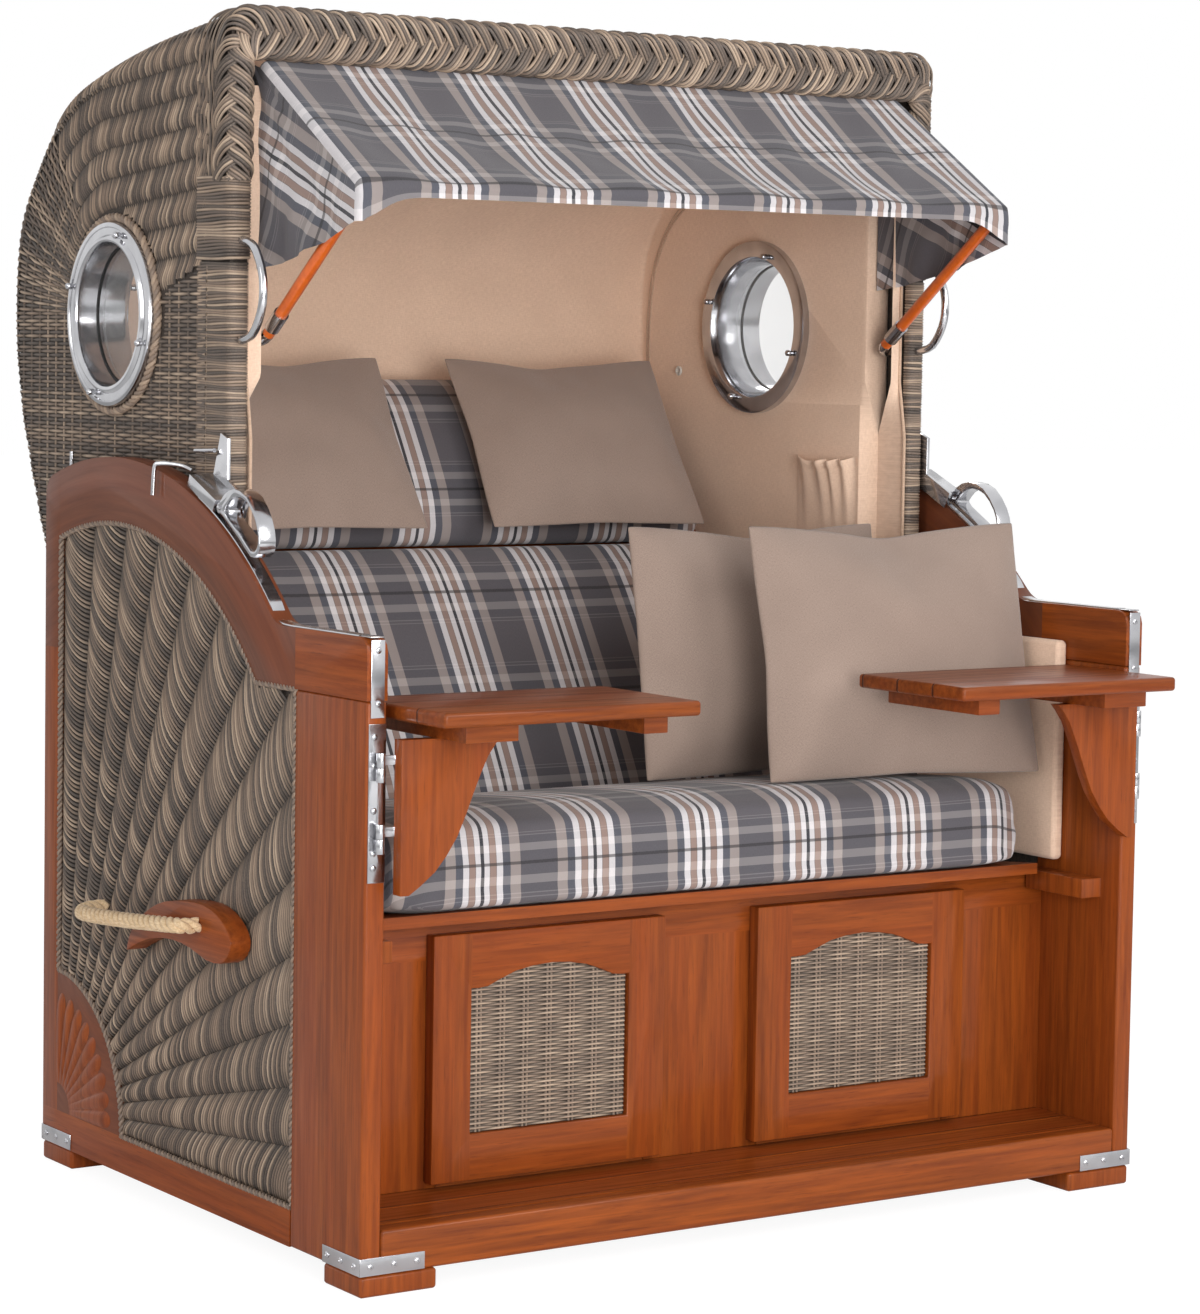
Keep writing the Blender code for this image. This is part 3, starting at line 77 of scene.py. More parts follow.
# The view: a long lens from the chair's left front, a little below the portholes, and soft
# studio lamps over a pale floor that fades into a white room.
BASE_MID_Y = -0.049825
VIEW_TURNS = (33.483, -3.895, 0.872)
VIEW_FROM = (-2.8316, -4.2214 + BASE_MID_Y, 1.1607)
LENS_MM, LENS_SHIFT = 99.46, (0.02471, -0.04568)
yaw, pitch, roll = (math.radians(turn) for turn in VIEW_TURNS)
ahead = Vector((math.sin(yaw) * math.cos(pitch), math.cos(yaw) * math.cos(pitch), math.sin(pitch)))
right = Vector((math.cos(yaw), -math.sin(yaw), 0.0))
up = right.cross(ahead)
across = right * math.cos(roll) + up * math.sin(roll)
upright = up * math.cos(roll) - right * math.sin(roll)
lens = bpy.data.cameras.new("camera")
lens.sensor_fit = "AUTO"
lens.sensor_width = 36.0
lens.lens = LENS_MM
lens.shift_x, lens.shift_y = LENS_SHIFT
camera = bpy.data.objects.new("camera", lens)
turned = Matrix((across, upright, -ahead)).transposed().to_4x4()
camera.matrix_world = Matrix.Translation(VIEW_FROM) @ turned
bpy.context.scene.collection.objects.link(camera)
bpy.context.scene.camera = camera
bpy.context.scene.view_settings.view_transform = "Standard"


def lamp(name, place, target, size, watts):
    data = bpy.data.lights.new(name, "AREA")
    data.shape = "DISK"
    data.size = size
    data.energy = watts
    made = bpy.data.objects.new(name, data)
    made.location = place
    made.rotation_euler = (Vector(target) - Vector(place)).to_track_quat("-Z", "Y").to_euler()
    bpy.context.scene.collection.objects.link(made)


lamp("key", (1.2, -4.6, 2.9), (0.0, 0.0, 0.8), 2.6, 96)
lamp("fill", (-4.4, -1.4, 2.2), (0.0, 0.0, 0.8), 2.6, 48)
lamp("front", (-1.5, -4.8, 1.15), (0.0, 0.0, 0.95), 2.0, 120)
lamp("back", (2.5, 3.5, 3.0), (0.0, 0.0, 0.9), 2.2, 60)


class Flow:
    """A shader socket that takes Python's arithmetic, so that a finish reads as a formula."""

    def __init__(self, socket):
        self.socket = socket

    def node(self, kind, inputs=(), output=0, **settings):
        tree = self.socket.id_data
        made = tree.nodes.new(kind)
        stops = settings.pop("stops", None)
        if stops:
            ramp = made.color_ramp
            ramp.interpolation = settings.pop("interpolation", "LINEAR")
            while len(ramp.elements) < len(stops):
                ramp.elements.new(1.0)
            for element, (place, colour) in zip(ramp.elements, stops):
                element.position = place
            for element, (place, colour) in zip(ramp.elements, stops):
                element.color = (*colour, 1.0)
        for key, value in settings.items():
            setattr(made, key, value)
        for key, value in dict(inputs).items():
            if isinstance(value, Flow):
                tree.links.new(value.socket, made.inputs[key])
            else:
                made.inputs[key].default_value = value
        return Flow(made.outputs[output])

    def sum(self, operation, *values):
        return self.node("ShaderNodeMath", enumerate(values), operation=operation)

    def __add__(self, other):
        return self.sum("ADD", self, other)

    def __sub__(self, other):
        return self.sum("SUBTRACT", self, other)

    def __rsub__(self, other):
        return self.sum("SUBTRACT", other, self)

    def __mul__(self, other):
        return self.sum("MULTIPLY", self, other)

    def __truediv__(self, other):
        return self.sum("DIVIDE", self, other)

    def __pow__(self, other):
        return self.sum("POWER", self, other)

    __radd__ = __add__
    __rmul__ = __mul__

    def between(self, low, high, start=0.0, end=1.0):
        """Start at low and below it, end at high and above it, and even in between."""
        inputs = {0: self, 1: low, 2: high, 3: start, 4: end}
        return self.node("ShaderNodeMapRange", inputs)

    def mix(self, first, second, **settings):
        """This socket from 0 to 1 leads from the first colour to the second."""
        colours = [(*c, 1.0) if isinstance(c, tuple) else c for c in (first, second)]
        inputs = {0: self, 6: colours[0], 7: colours[1]}
        return self.node("ShaderNodeMix", inputs, 2, data_type="RGBA", **settings)


class Finish:
    """A new material with its shader, and the coordinates that its pattern reads."""

    def __init__(self, name, roughness=0.5, **settings):
        self.material = bpy.data.materials.new(name)
        self.material.use_nodes = True
        self.shader = self.material.node_tree.nodes["Principled BSDF"]
        self.start = Flow(self.shader.inputs["Base Color"])
        self.set(Roughness=roughness)
        for key, value in settings.items():
            self.shader.inputs[key.replace("_", " ")].default_value = value

    def coords(self, output="Object"):
        return self.start.node("ShaderNodeTexCoord", output=output)

    def moved(self, scale, output="Object"):
        inputs = {"Vector": self.coords(output), "Scale": scale}
        return self.start.node("ShaderNodeMapping", inputs)

    def part(self, vector, axis):
        return vector.node("ShaderNodeSeparateXYZ", {0: vector}, axis)

    def noise(self, vector, scale, detail=3.0, roughness=0.5, distortion=0.0):
        inputs = {"Vector": vector, "Scale": scale, "Detail": detail}
        inputs.update({"Roughness": roughness, "Distortion": distortion})
        return self.start.node("ShaderNodeTexNoise", inputs)

    def attribute(self, name):
        return self.start.node("ShaderNodeAttribute", output=2, attribute_name=name)

    def set(self, **values):
        tree = self.material.node_tree
        for key, value in values.items():
            target = self.shader.inputs[key.replace("_", " ")]
            if isinstance(value, Flow):
                tree.links.new(value.socket, target)
            elif isinstance(value, tuple):
                target.default_value = (*value, 1.0)
            else:
                target.default_value = value

    def bump(self, height, distance, strength=1.0):
        inputs = {"Height": height, "Distance": distance, "Strength": strength}
        self.set(Normal=height.node("ShaderNodeBump", inputs))


ROOM_LIGHT = 0.44
FLOOR_GLOW, FLOOR_SHARE = 1.17, 0.78


def white_room():
    """A pale world and floor that are white to look at, with no more light on the chair for it."""
    world = bpy.data.worlds.new("studio")
    world.use_nodes = True
    bpy.context.scene.world = world
    sky = world.node_tree.nodes["Background"]
    start = Flow(sky.inputs["Color"])
    rays = [start.node("ShaderNodeLightPath", output=name) for name in (0, 3, 6)]
    seen = (rays[0] + rays[1] + rays[2]).sum("MINIMUM", rays[0] + rays[1] + rays[2], 1.0)
    strength = seen * (1 - ROOM_LIGHT) + ROOM_LIGHT
    world.node_tree.links.new(strength.socket, sky.inputs["Strength"])
    sky.inputs["Color"].default_value = (1.0, 1.0, 1.0, 1.0)
    bpy.ops.mesh.primitive_plane_add(size=60.0)
    floor = bpy.context.object
    floor.name = "floor"
    pale = Finish("pale_floor", 0.9)
    pale.set(Base_Color=(0.90, 0.90, 0.90), Emission_Color=(1.0, 1.0, 1.0))
    tree = pale.material.node_tree
    glow = tree.nodes.new("ShaderNodeEmission")
    blended = tree.nodes.new("ShaderNodeMixShader")
    camera_ray = pale.start.node("ShaderNodeLightPath", output=0) * FLOOR_SHARE
    glow.inputs["Strength"].default_value = FLOOR_GLOW
    tree.links.new(camera_ray.socket, blended.inputs[0])
    tree.links.new(pale.shader.outputs[0], blended.inputs[1])
    tree.links.new(glow.outputs[0], blended.inputs[2])
    tree.links.new(blended.outputs[0], tree.nodes["Material Output"].inputs[0])
    floor.data.materials.append(pale.material)
    floor.location.z = -0.0005
    bpy.ops.object.transform_apply(location=True)


white_room()


# Rope handles: natural three-strand rope as thick as a thumb, drawn through the crescent boards
# at the front and into the side panel at the rear, so that each side can be gripped and lifted.
ROPE_R, ROPE_LAY, ROPE_PROUD, ROPE_SUNK = 0.0105, 0.046, 0.028, 0.0003
STRAND_OUT, STRAND_R = ROPE_R * 0.50, ROPE_R * 0.52
FRONT_HOLE, REAR_HOLE = (-0.078, 0.411), (0.258, 0.387)


def clear_selection():
    bpy.ops.object.select_all(action="DESELECT")


def only(piece):
    """Selects one piece and nothing else."""
    clear_selection()
    piece.select_set(True)
    bpy.context.view_layer.objects.active = piece


def finished(piece, body, slot, finish, *replaced):
    """Gives a piece its finish, its body and the solids that it stands for."""
    piece.data.materials.clear()
    piece.data.materials.append(finish.material)
    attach(piece, body)
    if replaced:
        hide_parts(*replaced)
    return piece


def from_points(name, points, faces, values=None, smooth=True):
    """A mesh object from arrays of points and faces, with a number for each point under a name."""
    mesh = bpy.data.meshes.new(name)
    mesh.from_pydata(np.asarray(points, float).tolist(), [], [list(face) for face in faces])
    for key, numbers in (values or {}).items():
        layer = mesh.attributes.new(key, "FLOAT", "POINT")
        layer.data.foreach_set("value", np.asarray(numbers, np.float32).ravel())
    if smooth:
        mesh.shade_smooth()
    made = bpy.data.objects.new(name, mesh)
    bpy.context.scene.collection.objects.link(made)
    return made


def smooth_path(points, steps):
    """More points along a smooth line through the given ones."""
    points = np.asarray(points, float)
    ends = np.vstack([points[:1], points, points[-1:]])
    t = np.linspace(0, 1, steps, endpoint=False)[:, None]
    made = []
    for a, b, c, d in zip(ends, ends[1:], ends[2:], ends[3:]):
        curve = b * 2 + (c - a) * t + (a * 2 - b * 5 + c * 4 - d) * t**2
        made.append((curve + (b * 3 - a - c * 3 + d) * t**3) / 2)
    return np.vstack([*made, points[-1:]])


def frames_along(path):
    """Unit vectors along a path and two beside it, without a twist."""
    along = np.gradient(path, axis=0)
    along /= np.linalg.norm(along, axis=1)[:, None]
    beside = np.zeros_like(path)
    first = np.cross(along[0], (0.3, 0.2, 0.93))
    for i, direction in enumerate(along):
        first = first - direction * first.dot(direction)
        first /= np.linalg.norm(first)
        beside[i] = first
    return along, beside, np.cross(along, beside)


def tubes(name, paths, radius, sides=10):
    """Round tubes along paths of like length, in one mesh, with closed ends."""
    points, faces = [], []
    angle = np.linspace(0, 2 * math.pi, sides, endpoint=False)
    for path in paths:
        path = np.asarray(path, float)
        _, beside, over = frames_along(path)
        start = sum(len(p) for p in points)
        cosine, sine = np.cos(angle)[None, :, None], np.sin(angle)[None, :, None]
        ring = path[:, None] + radius * (cosine * beside[:, None] + sine * over[:, None])
        points.append(ring.reshape(-1, 3))
        count = len(path)
        i, j = np.meshgrid(np.arange(count - 1), np.arange(sides), indexing="ij")
        a = start + i * sides + j
        b = start + i * sides + (j + 1) % sides
        faces += np.stack([a, b, b + sides, a + sides], -1).reshape(-1, 4).tolist()
        faces.append([start + k for k in range(sides)][::-1])
        faces.append([start + (count - 1) * sides + k for k in range(sides)])
    return from_points(name, np.vstack(points), faces)


def rope_finish():
    hemp = Finish("hemp_rope", 0.88, Sheen_Weight=0.2)
    fibres = hemp.noise(hemp.moved((420.0, 60.0, 420.0)), 1.0, 4.0, 0.6)
    patches = hemp.noise(hemp.coords(), 26.0, 2.0)
    colour = fibres.between(0.3, 0.72).mix((0.52, 0.34, 0.18), (0.90, 0.70, 0.46))
    colour = patches.between(0.35, 0.7, 0.0, 0.4).mix(colour, (0.62, 0.42, 0.22))
    hemp.set(Base_Color=colour)
    hemp.bump(fibres, 0.0006, 0.6)
    return hemp


HEMP = rope_finish()
for side, sign in SIDES:
    board_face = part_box(f"handle_board_{side}")[sign > 0][0] * sign + ROPE_SUNK
    panel_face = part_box(f"side_wicker_{side}")[sign > 0][0] * sign + ROPE_SUNK
    far = board_face + ROPE_PROUD
    route = (
        (board_face, *FRONT_HOLE),
        (board_face + ROPE_PROUD / 2, *FRONT_HOLE),
        (far, -0.06225, 0.411),
        (far, 0.090, 0.397),
        (far - 0.0093, 0.216, 0.387),
        (board_face, 0.2475, 0.387),
        (panel_face + 0.0103, *REAR_HOLE),
        (panel_face, *REAR_HOLE),
    )
    middle = smooth_path([(sign * x, y + BASE_MID_Y, z) for x, y, z in route], 8)
    _, beside, over = frames_along(middle)
    lengths = np.concatenate([[0], np.cumsum(np.linalg.norm(np.diff(middle, axis=0), axis=1))])
    fine = np.linspace(0, lengths[-1], 150)
    middle_fine = np.stack([np.interp(fine, lengths, middle[:, k]) for k in range(3)], 1)
    beside_fine = np.stack([np.interp(fine, lengths, beside[:, k]) for k in range(3)], 1)
    over_fine = np.stack([np.interp(fine, lengths, over[:, k]) for k in range(3)], 1)
    strands = []
    for third in range(3):
        twist = (fine / ROPE_LAY + third / 3) * 2 * math.pi
        ring = np.cos(twist)[:, None] * beside_fine + np.sin(twist)[:, None] * over_fine
        strands.append(middle_fine + ring * STRAND_OUT)
    rope = tubes(f"rope_{side}", strands, STRAND_R)
    finished(rope, "base", "hemp_rope", HEMP, f"rope_handle_{side}")


# Base frame: mahogany rails, stiles and arched arms, screwed together, with their edges eased by hand and a
# clear gloss varnish.
PIVOT_Y, PIVOT_Z = 0.184175, 0.383
SILL_TOP, ARM_UNDER, BENCH_RAIL = 0.077, 0.733, 0.378
POST_BACK, STILE_FRONT = -0.272 + BASE_MID_Y, 0.404 + BASE_MID_Y
BOARD_WIDTH, DECK_BOARD = 0.0747, 0.062
DARK_GRAIN, LIGHT_GRAIN = (0.135, 0.028, 0.0052), (0.345, 0.080, 0.011)


def apply(piece, kind, **settings):
    """Adds a modifier and applies it at once."""
    only(piece)
    made = piece.modifiers.new(kind.lower(), kind)
    for key, value in settings.items():
        setattr(made, key, value)
    bpy.ops.object.modifier_apply(modifier=made.name)


def merged(name, *names):
    """The solids of some nodes as one new piece, with their loose triangles joined."""
    clear_selection()
    for source in names:
        piece = bpy.data.objects.new(name, node[source].data.copy())
        piece.data.materials.clear()
        bpy.context.scene.collection.objects.link(piece)
        piece.select_set(True)
        bpy.context.view_layer.objects.active = piece
    if len(names) > 1:
        bpy.ops.object.join()
    piece = bpy.context.view_layer.objects.active
    bpy.ops.object.mode_set(mode="EDIT")
    bpy.ops.mesh.select_all(action="SELECT")
    bpy.ops.mesh.customdata_custom_splitnormals_clear()
    bpy.ops.mesh.remove_doubles(threshold=0.00002)
    bpy.ops.mesh.dissolve_limited(angle_limit=math.radians(0.5))
    bpy.ops.object.mode_set(mode="OBJECT")
    piece.name = name
    return piece


def smooth_by_angle(piece, angle):
    only(piece)
    bpy.ops.object.shade_smooth_by_angle(angle=math.radians(angle))


def eased(name, body, slot, finish, *names, width=0.002, angle=28, smooth=38):
    """A node's own shape with its sharp edges rounded, in place of the node."""
    piece = merged(name, *names)
    apply(piece, "BEVEL", width=width, segments=2, angle_limit=math.radians(angle))
    smooth_by_angle(piece, smooth)
    return finished(piece, body, slot, finish, *names)


def painted(finish, *names):
    """Gives CAD nodes that show as they are a finish."""
    for name in names:
        node[name].data.materials.clear()
        node[name].data.materials.append(finish.material)


def sliced(piece, cuts):
    """Cuts a piece's faces along planes, each given by a place and the way it faces."""
    work = bmesh.new()
    work.from_mesh(piece.data)
    for place, facing in cuts:
        everything = [*work.verts, *work.edges, *work.faces]
        bmesh.ops.bisect_plane(work, geom=everything, dist=1e-5, plane_co=place, plane_no=facing)
    work.to_mesh(piece.data)
    work.free()


def regrained(piece, cuts, finishes, choose):
    """Cuts faces along the joints and gives each board the grain that runs along it."""
    sliced(piece, cuts)
    piece.data.materials.clear()
    for finish in finishes:
        piece.data.materials.append(finish.material)
    for face in piece.data.polygons:
        face.material_index = choose(face.center)


def mahogany(name, along, round_pivot=False, boards=0.0, bright=1.0, under=0.0):
    """Varnished wood with its grain along an axis or round the hood's pivot, whole or in boards."""
    wood = Finish(name, 0.44, Coat_Weight=0.22, Coat_Roughness=0.12, Specular_IOR_Level=0.14)
    place = wood.coords()
    if round_pivot:
        x, y, z = (wood.part(place, axis) for axis in (0, 1, 2))
        y, z = y - PIVOT_Y, z - PIVOT_Z
        radius = (y * y + z * z) ** 0.5
        angle = z.sum("ARCTAN2", z, y)
        place = x.node("ShaderNodeCombineXYZ", {0: x, 1: radius, 2: angle * 0.6})
    scale = [110.0, 110.0, 110.0]
    scale[along] = 5.0
    lengthways = wood.start.node("ShaderNodeMapping", {"Vector": place, "Scale": scale})
    grain = wood.noise(lengthways, 1.0, 5.0, 0.62, 0.3)
    figure = wood.noise(lengthways, 0.16, 3.0, 0.5, 0.8)
    pores = wood.noise(lengthways, 4.5, 2.0, 0.7)
    dark, light = (tuple(bright * part for part in tone) for tone in (DARK_GRAIN, LIGHT_GRAIN))
    colour = grain.between(0.28, 0.74).mix(dark, light)
    colour = figure.between(0.38, 0.66, 0.0, 0.38).mix(colour, (0.26, 0.044, 0.007))
    colour = pores.between(0.60, 0.74, 0.0, 0.50).mix(colour, (0.070, 0.012, 0.004))
    # Painted reflection: the arch's colour is mixed 42% towards a muted brown that stands in for the milky
    # haze its gloss reflects.
    if round_pivot:
        reflection_haze = {0: 0.42, 6: colour, 7: (0.135, 0.058, 0.038, 1.0)}
        colour = colour.node("ShaderNodeMix", reflection_haze, 2, data_type="RGBA")
    wood.set(Base_Color=colour, Roughness=grain.between(0.3, 0.7, 0.50, 0.38))
    if boards:
        y = wood.part(wood.coords(), 1) / boards + 0.37
        off_middle = y.sum("FRACT", y) - 0.5
        joint = y.sum("ABSOLUTE", off_middle).between(0.470, 0.488)
        joint = joint * wood.part(wood.coords(), 2).between(under, under + 0.0005)
        wood.set(Base_Color=(joint * 0.85).mix(colour, (0.030, 0.006, 0.002)))
        wood.bump(1.0 - joint, 0.002, 0.8)
        return wood
    wood.bump(pores, 0.0002, 0.35)
    return wood


WOOD_X, WOOD_Y, WOOD_Z = (mahogany(f"mahogany_{axis}", i) for i, axis in enumerate("xyz"))
WOOD_ARCH = mahogany("mahogany_arch", 2, True, bright=0.62)
WOOD_TABLE = mahogany("mahogany_boards", 0, boards=BOARD_WIDTH, bright=0.80, under=0.7085)
WOOD_DECK = mahogany("mahogany_deck", 0, boards=DECK_BOARD)


def side_board(centre):
    """Which board of a side frame a face is on: the bent arch, a level rail or the upright."""
    if centre.z < SILL_TOP or centre.y < POST_BACK - 0.0002:
        return 1
    return 2 if centre.y > STILE_FRONT + 0.0003 and centre.z < 0.85 else 0


for side, sign in SIDES:
    frame_side = eased(f"arched_frame_{side}", "base", "mahogany", WOOD_ARCH, f"side_frame_{side}")
    cuts = [((0, 0, SILL_TOP), (0, 0, 1)), ((0, STILE_FRONT, 0), (0, 1, 0))]
    cuts += [((0, 0, ARM_UNDER), (0, 0, 1)), ((0, POST_BACK, 0), (0, 1, 0))]
    regrained(frame_side, cuts, (WOOD_ARCH, WOOD_Y, WOOD_Z), side_board)
    eased(f"front_stile_{side}", "base", "mahogany", WOOD_Z, f"front_post_{side}")
    eased(f"crescent_{side}", "base", "mahogany", WOOD_Y, f"handle_board_{side}")
    for end in ("front", "rear"):
        eased(f"foot_{end}_{side}_cap", "base", "mahogany", WOOD_Z, f"foot_{end}_{side}")
    painted(WOOD_Z, f"hood_arm_{side}", f"hood_pin_{side}")
eased("front_sill", "base", "mahogany", WOOD_X, "front_rail")
bench = eased("bench_carcass", "base", "mahogany", WOOD_Z, "seat_box", width=0.001)
cuts = [((0, 0, BENCH_RAIL), (0, 0, 1))]
regrained(bench, cuts, (WOOD_Z, WOOD_X), lambda c: 1 if c.z > BENCH_RAIL else 0)
painted(WOOD_DECK, "deck")
painted(WOOD_X, "rear_panel", "seat_board", "backrest_board")


# Metal fittings: polished steel plates, hinges, porthole rings and bowed handles, with a little
# brushed unevenness and the soft scratches of use.
def steel(name, roughness=0.14):
    metal = Finish(name, roughness, Metallic=1.0)
    marks = metal.noise(metal.moved((40.0, 300.0, 40.0)), 1.0, 4.0, 0.6)
    cloud = metal.noise(metal.coords(), 18.0, 2.0)
    metal.set(Base_Color=cloud.between(0.3, 0.7).mix((0.44, 0.44, 0.46), (0.62, 0.62, 0.64)))
    metal.set(Roughness=marks.between(0.3, 0.7, roughness * 0.8, roughness * 1.6))
    metal.bump(cloud, 0.0006, 0.10)
    return metal


STEEL = steel("polished_steel")
for side, sign in SIDES:
    eased(f"hinge_{side}", "base", "polished_steel", STEEL, f"table_hinge_{side}", width=0.0006)
    eased(f"latch_bar_{side}", "hood", "polished_steel", STEEL, f"latch_plate_{side}", width=0.0005)
    eased(f"bow_handle_{side}", "hood", "polished_steel", STEEL, f"grab_handle_{side}", width=0.001)
    eased(f"squeeze_grip_{side}", f"latch_{side}", "polished_steel", STEEL, f"latch_grip_{side}")


def plates(name, boxes, body, width=0.0006):
    """Thin steel plates with eased edges, as one piece."""
    clear_selection()
    made = []
    for low, high in boxes:
        middle = [(a + b) / 2 for a, b in zip(low, high)]
        bpy.ops.mesh.primitive_cube_add(size=1.0, location=middle)
        plate = bpy.context.object
        plate.scale = [abs(b - a) for a, b in zip(low, high)]
        bpy.ops.object.transform_apply(location=True, scale=True)
        made.append(plate)
    for plate in made:
        plate.select_set(True)
    bpy.context.view_layer.objects.active = made[0]
    if len(made) > 1:
        bpy.ops.object.join()
    piece = bpy.context.view_layer.objects.active
    piece.name = name
    apply(piece, "BEVEL", width=width, segments=2)
    smooth_by_angle(piece, 30)
    return finished(piece, body, "polished_steel", STEEL)


def studs(name, section, places, axis, body, finish=None, slot="polished_steel", sides=14):
    """One turned shape at many places: its section gives distance along the axis and radius."""
    axis = np.asarray(axis, float)
    beside = np.cross(axis, (0.3, 0.5, 0.8))
    beside /= np.linalg.norm(beside)
    over = np.cross(axis, beside)
    turn = np.linspace(0, 2 * math.pi, sides, endpoint=False)
    ring = np.cos(turn)[:, None] * beside + np.sin(turn)[:, None] * over
    points, faces = [], []
    for place in places:
        start = len(points)
        for out, radius in section:
            points += (np.asarray(place) + axis * out + ring * radius).tolist()
        for row in range(len(section) - 1):
            for k in range(sides):
                a, b = start + row * sides + k, start + row * sides + (k + 1) % sides
                faces.append((a, b, b + sides, a + sides))
        last = start + (len(section) - 1) * sides
        faces.append([last + k for k in range(sides)])
    made = from_points(name, points, faces)
    smooth_by_angle(made, 45)
    return finished(made, body, slot, finish or STEEL)


# Cane: split rattan in greys, browns and pale straw, woven wet over thicker stakes and left to
# dry. Every strand is a strip of its own with a raised middle and its own tone.
def cane(name, bright=1.0, dip_shade=0.40):
    reed = Finish(name, 0.58)
    strand, rib, rise = (reed.attribute(key) for key in ("strand", "rib", "rise"))
    stops = (
        (0.0, (0.064, 0.047, 0.040)),
        (0.25, (0.135, 0.098, 0.080)),
        (0.45, (0.22, 0.155, 0.117)),
        (0.70, (0.39, 0.272, 0.192)),
        (1.0, (0.66, 0.49, 0.355)),
    )
    tone = strand.node("ShaderNodeValToRGB", {0: strand}, stops=stops)
    patch = reed.noise(reed.coords(), 22.0, 3.0, 0.6)
    fibre = reed.noise(reed.coords(), 420.0, 2.0, 0.7)
    tone = patch.between(0.40, 0.68, 0.0, 0.35).mix(tone, (0.16, 0.120, 0.095))
    tone = fibre.between(0.35, 0.7, 0.0, 0.22).mix(tone, (0.50, 0.40, 0.30))
    # Painted shade: the colour darkens towards near-black at each strand's edges and where the strand dips
    # behind its neighbours.
    dark = (0.22 + rib * 0.78) * rise.between(-1.0, 0.8, dip_shade, 1.0) * bright
    tone = dark.mix((0.010, 0.008, 0.007), tone)
    reed.set(Base_Color=tone, Roughness=fibre.between(0.3, 0.7, 0.48, 0.68))
    return reed


def reeds(name, lines, width, seed, drop=0.45, tones=(0.0, 1.0)):
    """Strands along lines: each has its points, its outward normals and its rise at each point."""
    chance = random.Random(seed)
    points, faces, start = [], [], 0
    tone, rib, rise = [], [], []
    for line, normal, height in lines:
        normal = np.broadcast_to(np.asarray(normal, float), line.shape)
        beside = np.cross(normal, np.gradient(line, axis=0))
        beside /= np.linalg.norm(beside, axis=1)[:, None] + 1e-12
        edge = line - normal * width * drop
        half = beside * width / 2
        points.append(np.stack([edge - half, line, edge + half], 1).reshape(-1, 3))
        steps = len(line)
        a = start + 3 * np.arange(steps - 1)[:, None] + np.arange(2)
        faces.append(np.stack([a, a + 3, a + 4, a + 1], -1).reshape(-1, 4))
        tone.append(np.full(3 * steps, tones[0] + (tones[1] - tones[0]) * chance.random()))
        # rib and rise drive the cane finish's painted shade: darker at a strand's edges and where it dips.
        rib.append(np.tile([0.0, 1.0, 0.0], steps))
        rise.append(np.repeat(np.broadcast_to(height, steps), 3))
        start += 3 * steps
    values = {"strand": tone, "rib": rib, "rise": rise}
    values = {key: np.concatenate(numbers) for key, numbers in values.items()}
    return from_points(name, np.vstack(points), np.vstack(faces).tolist(), values)


def kept_runs(keep, least=3):
    """Start and end of each unbroken stretch of points to keep."""
    edges = np.flatnonzero(np.diff(np.concatenate([[0], keep.astype(int), [0]]))).reshape(-1, 2)
    return [(a, b) for a, b in edges if b - a >= least]


def inside(outline, points):
    """Which points lie inside a closed outline."""
    near, far = outline, np.roll(outline, -1, 0)
    y, z = points[:, :1], points[:, 1:]
    crosses = (near[:, 1] > z) != (far[:, 1] > z)
    at = near[:, 0] + (z - near[:, 1]) * (far - near)[:, 0] / ((far - near)[:, 1] + 1e-12)
    return (crosses & (y < at)).sum(1) % 2 == 1


def distance_to(path, points):
    """How far points lie from an open path."""
    near, step = path[:-1], np.diff(path, axis=0)
    reach = points[:, None] - near
    share = np.clip((reach * step).sum(2) / (step**2).sum(1), 0, 1)
    return np.linalg.norm(reach - share[..., None] * step, axis=2).min(1)


def points_of(piece):
    values = np.empty(len(piece.data.vertices) * 3, np.float32)
    piece.data.vertices.foreach_get("co", values)
    return values.reshape(-1, 3).astype(float)


def set_points(piece, values):
    piece.data.vertices.foreach_set("co", np.asarray(values, np.float32).ravel())
    piece.data.update()


CANE = cane("wicker")
# The board under every weave is near-black: painted shade seen through the gaps between strands.
SHADE_BACKING = Finish("wicker_shade_backing", 0.8)
speckle = SHADE_BACKING.noise(SHADE_BACKING.coords(), 300.0, 2.0)
SHADE_BACKING.set(Base_Color=speckle.between(0.3, 0.7).mix((0.020, 0.015, 0.012), (0.060, 0.042, 0.032)))


# Side panels: cane bands that fan out from the carved quarter-round at the bottom rear corner.
# Each strand crosses its band in a slanted curve and dips under the stakes at the band's edges.
FAN_Y, FAN_Z, FAN_R = STILE_FRONT, SILL_TOP, 0.20
PANEL_FACE, PANEL_BANDS, BAND_SWELL = 0.6205, 14, 0.0066
PANEL_STEP, PANEL_REED, BOARD_SUNK = 0.0066, 0.0046, 0.0075
BORDER_X, BORDER_R, BORDER_LAY = 0.6228, 0.0042, 0.016


def arc_points(y, z, radius, start, end, steps):
    turn = np.radians(np.linspace(start, end, steps))
    return np.stack([y + radius * np.cos(turn), z + radius * np.sin(turn)], 1)


opening = np.vstack(
    [
        [(POST_BACK, FAN_Z), (POST_BACK, ARM_UNDER)],
        arc_points(PIVOT_Y, PIVOT_Z, 0.533, 138.95, 71.4, 40),
        arc_points(FAN_Y, FAN_Z, FAN_R, 90, 180, 24),
    ]
)


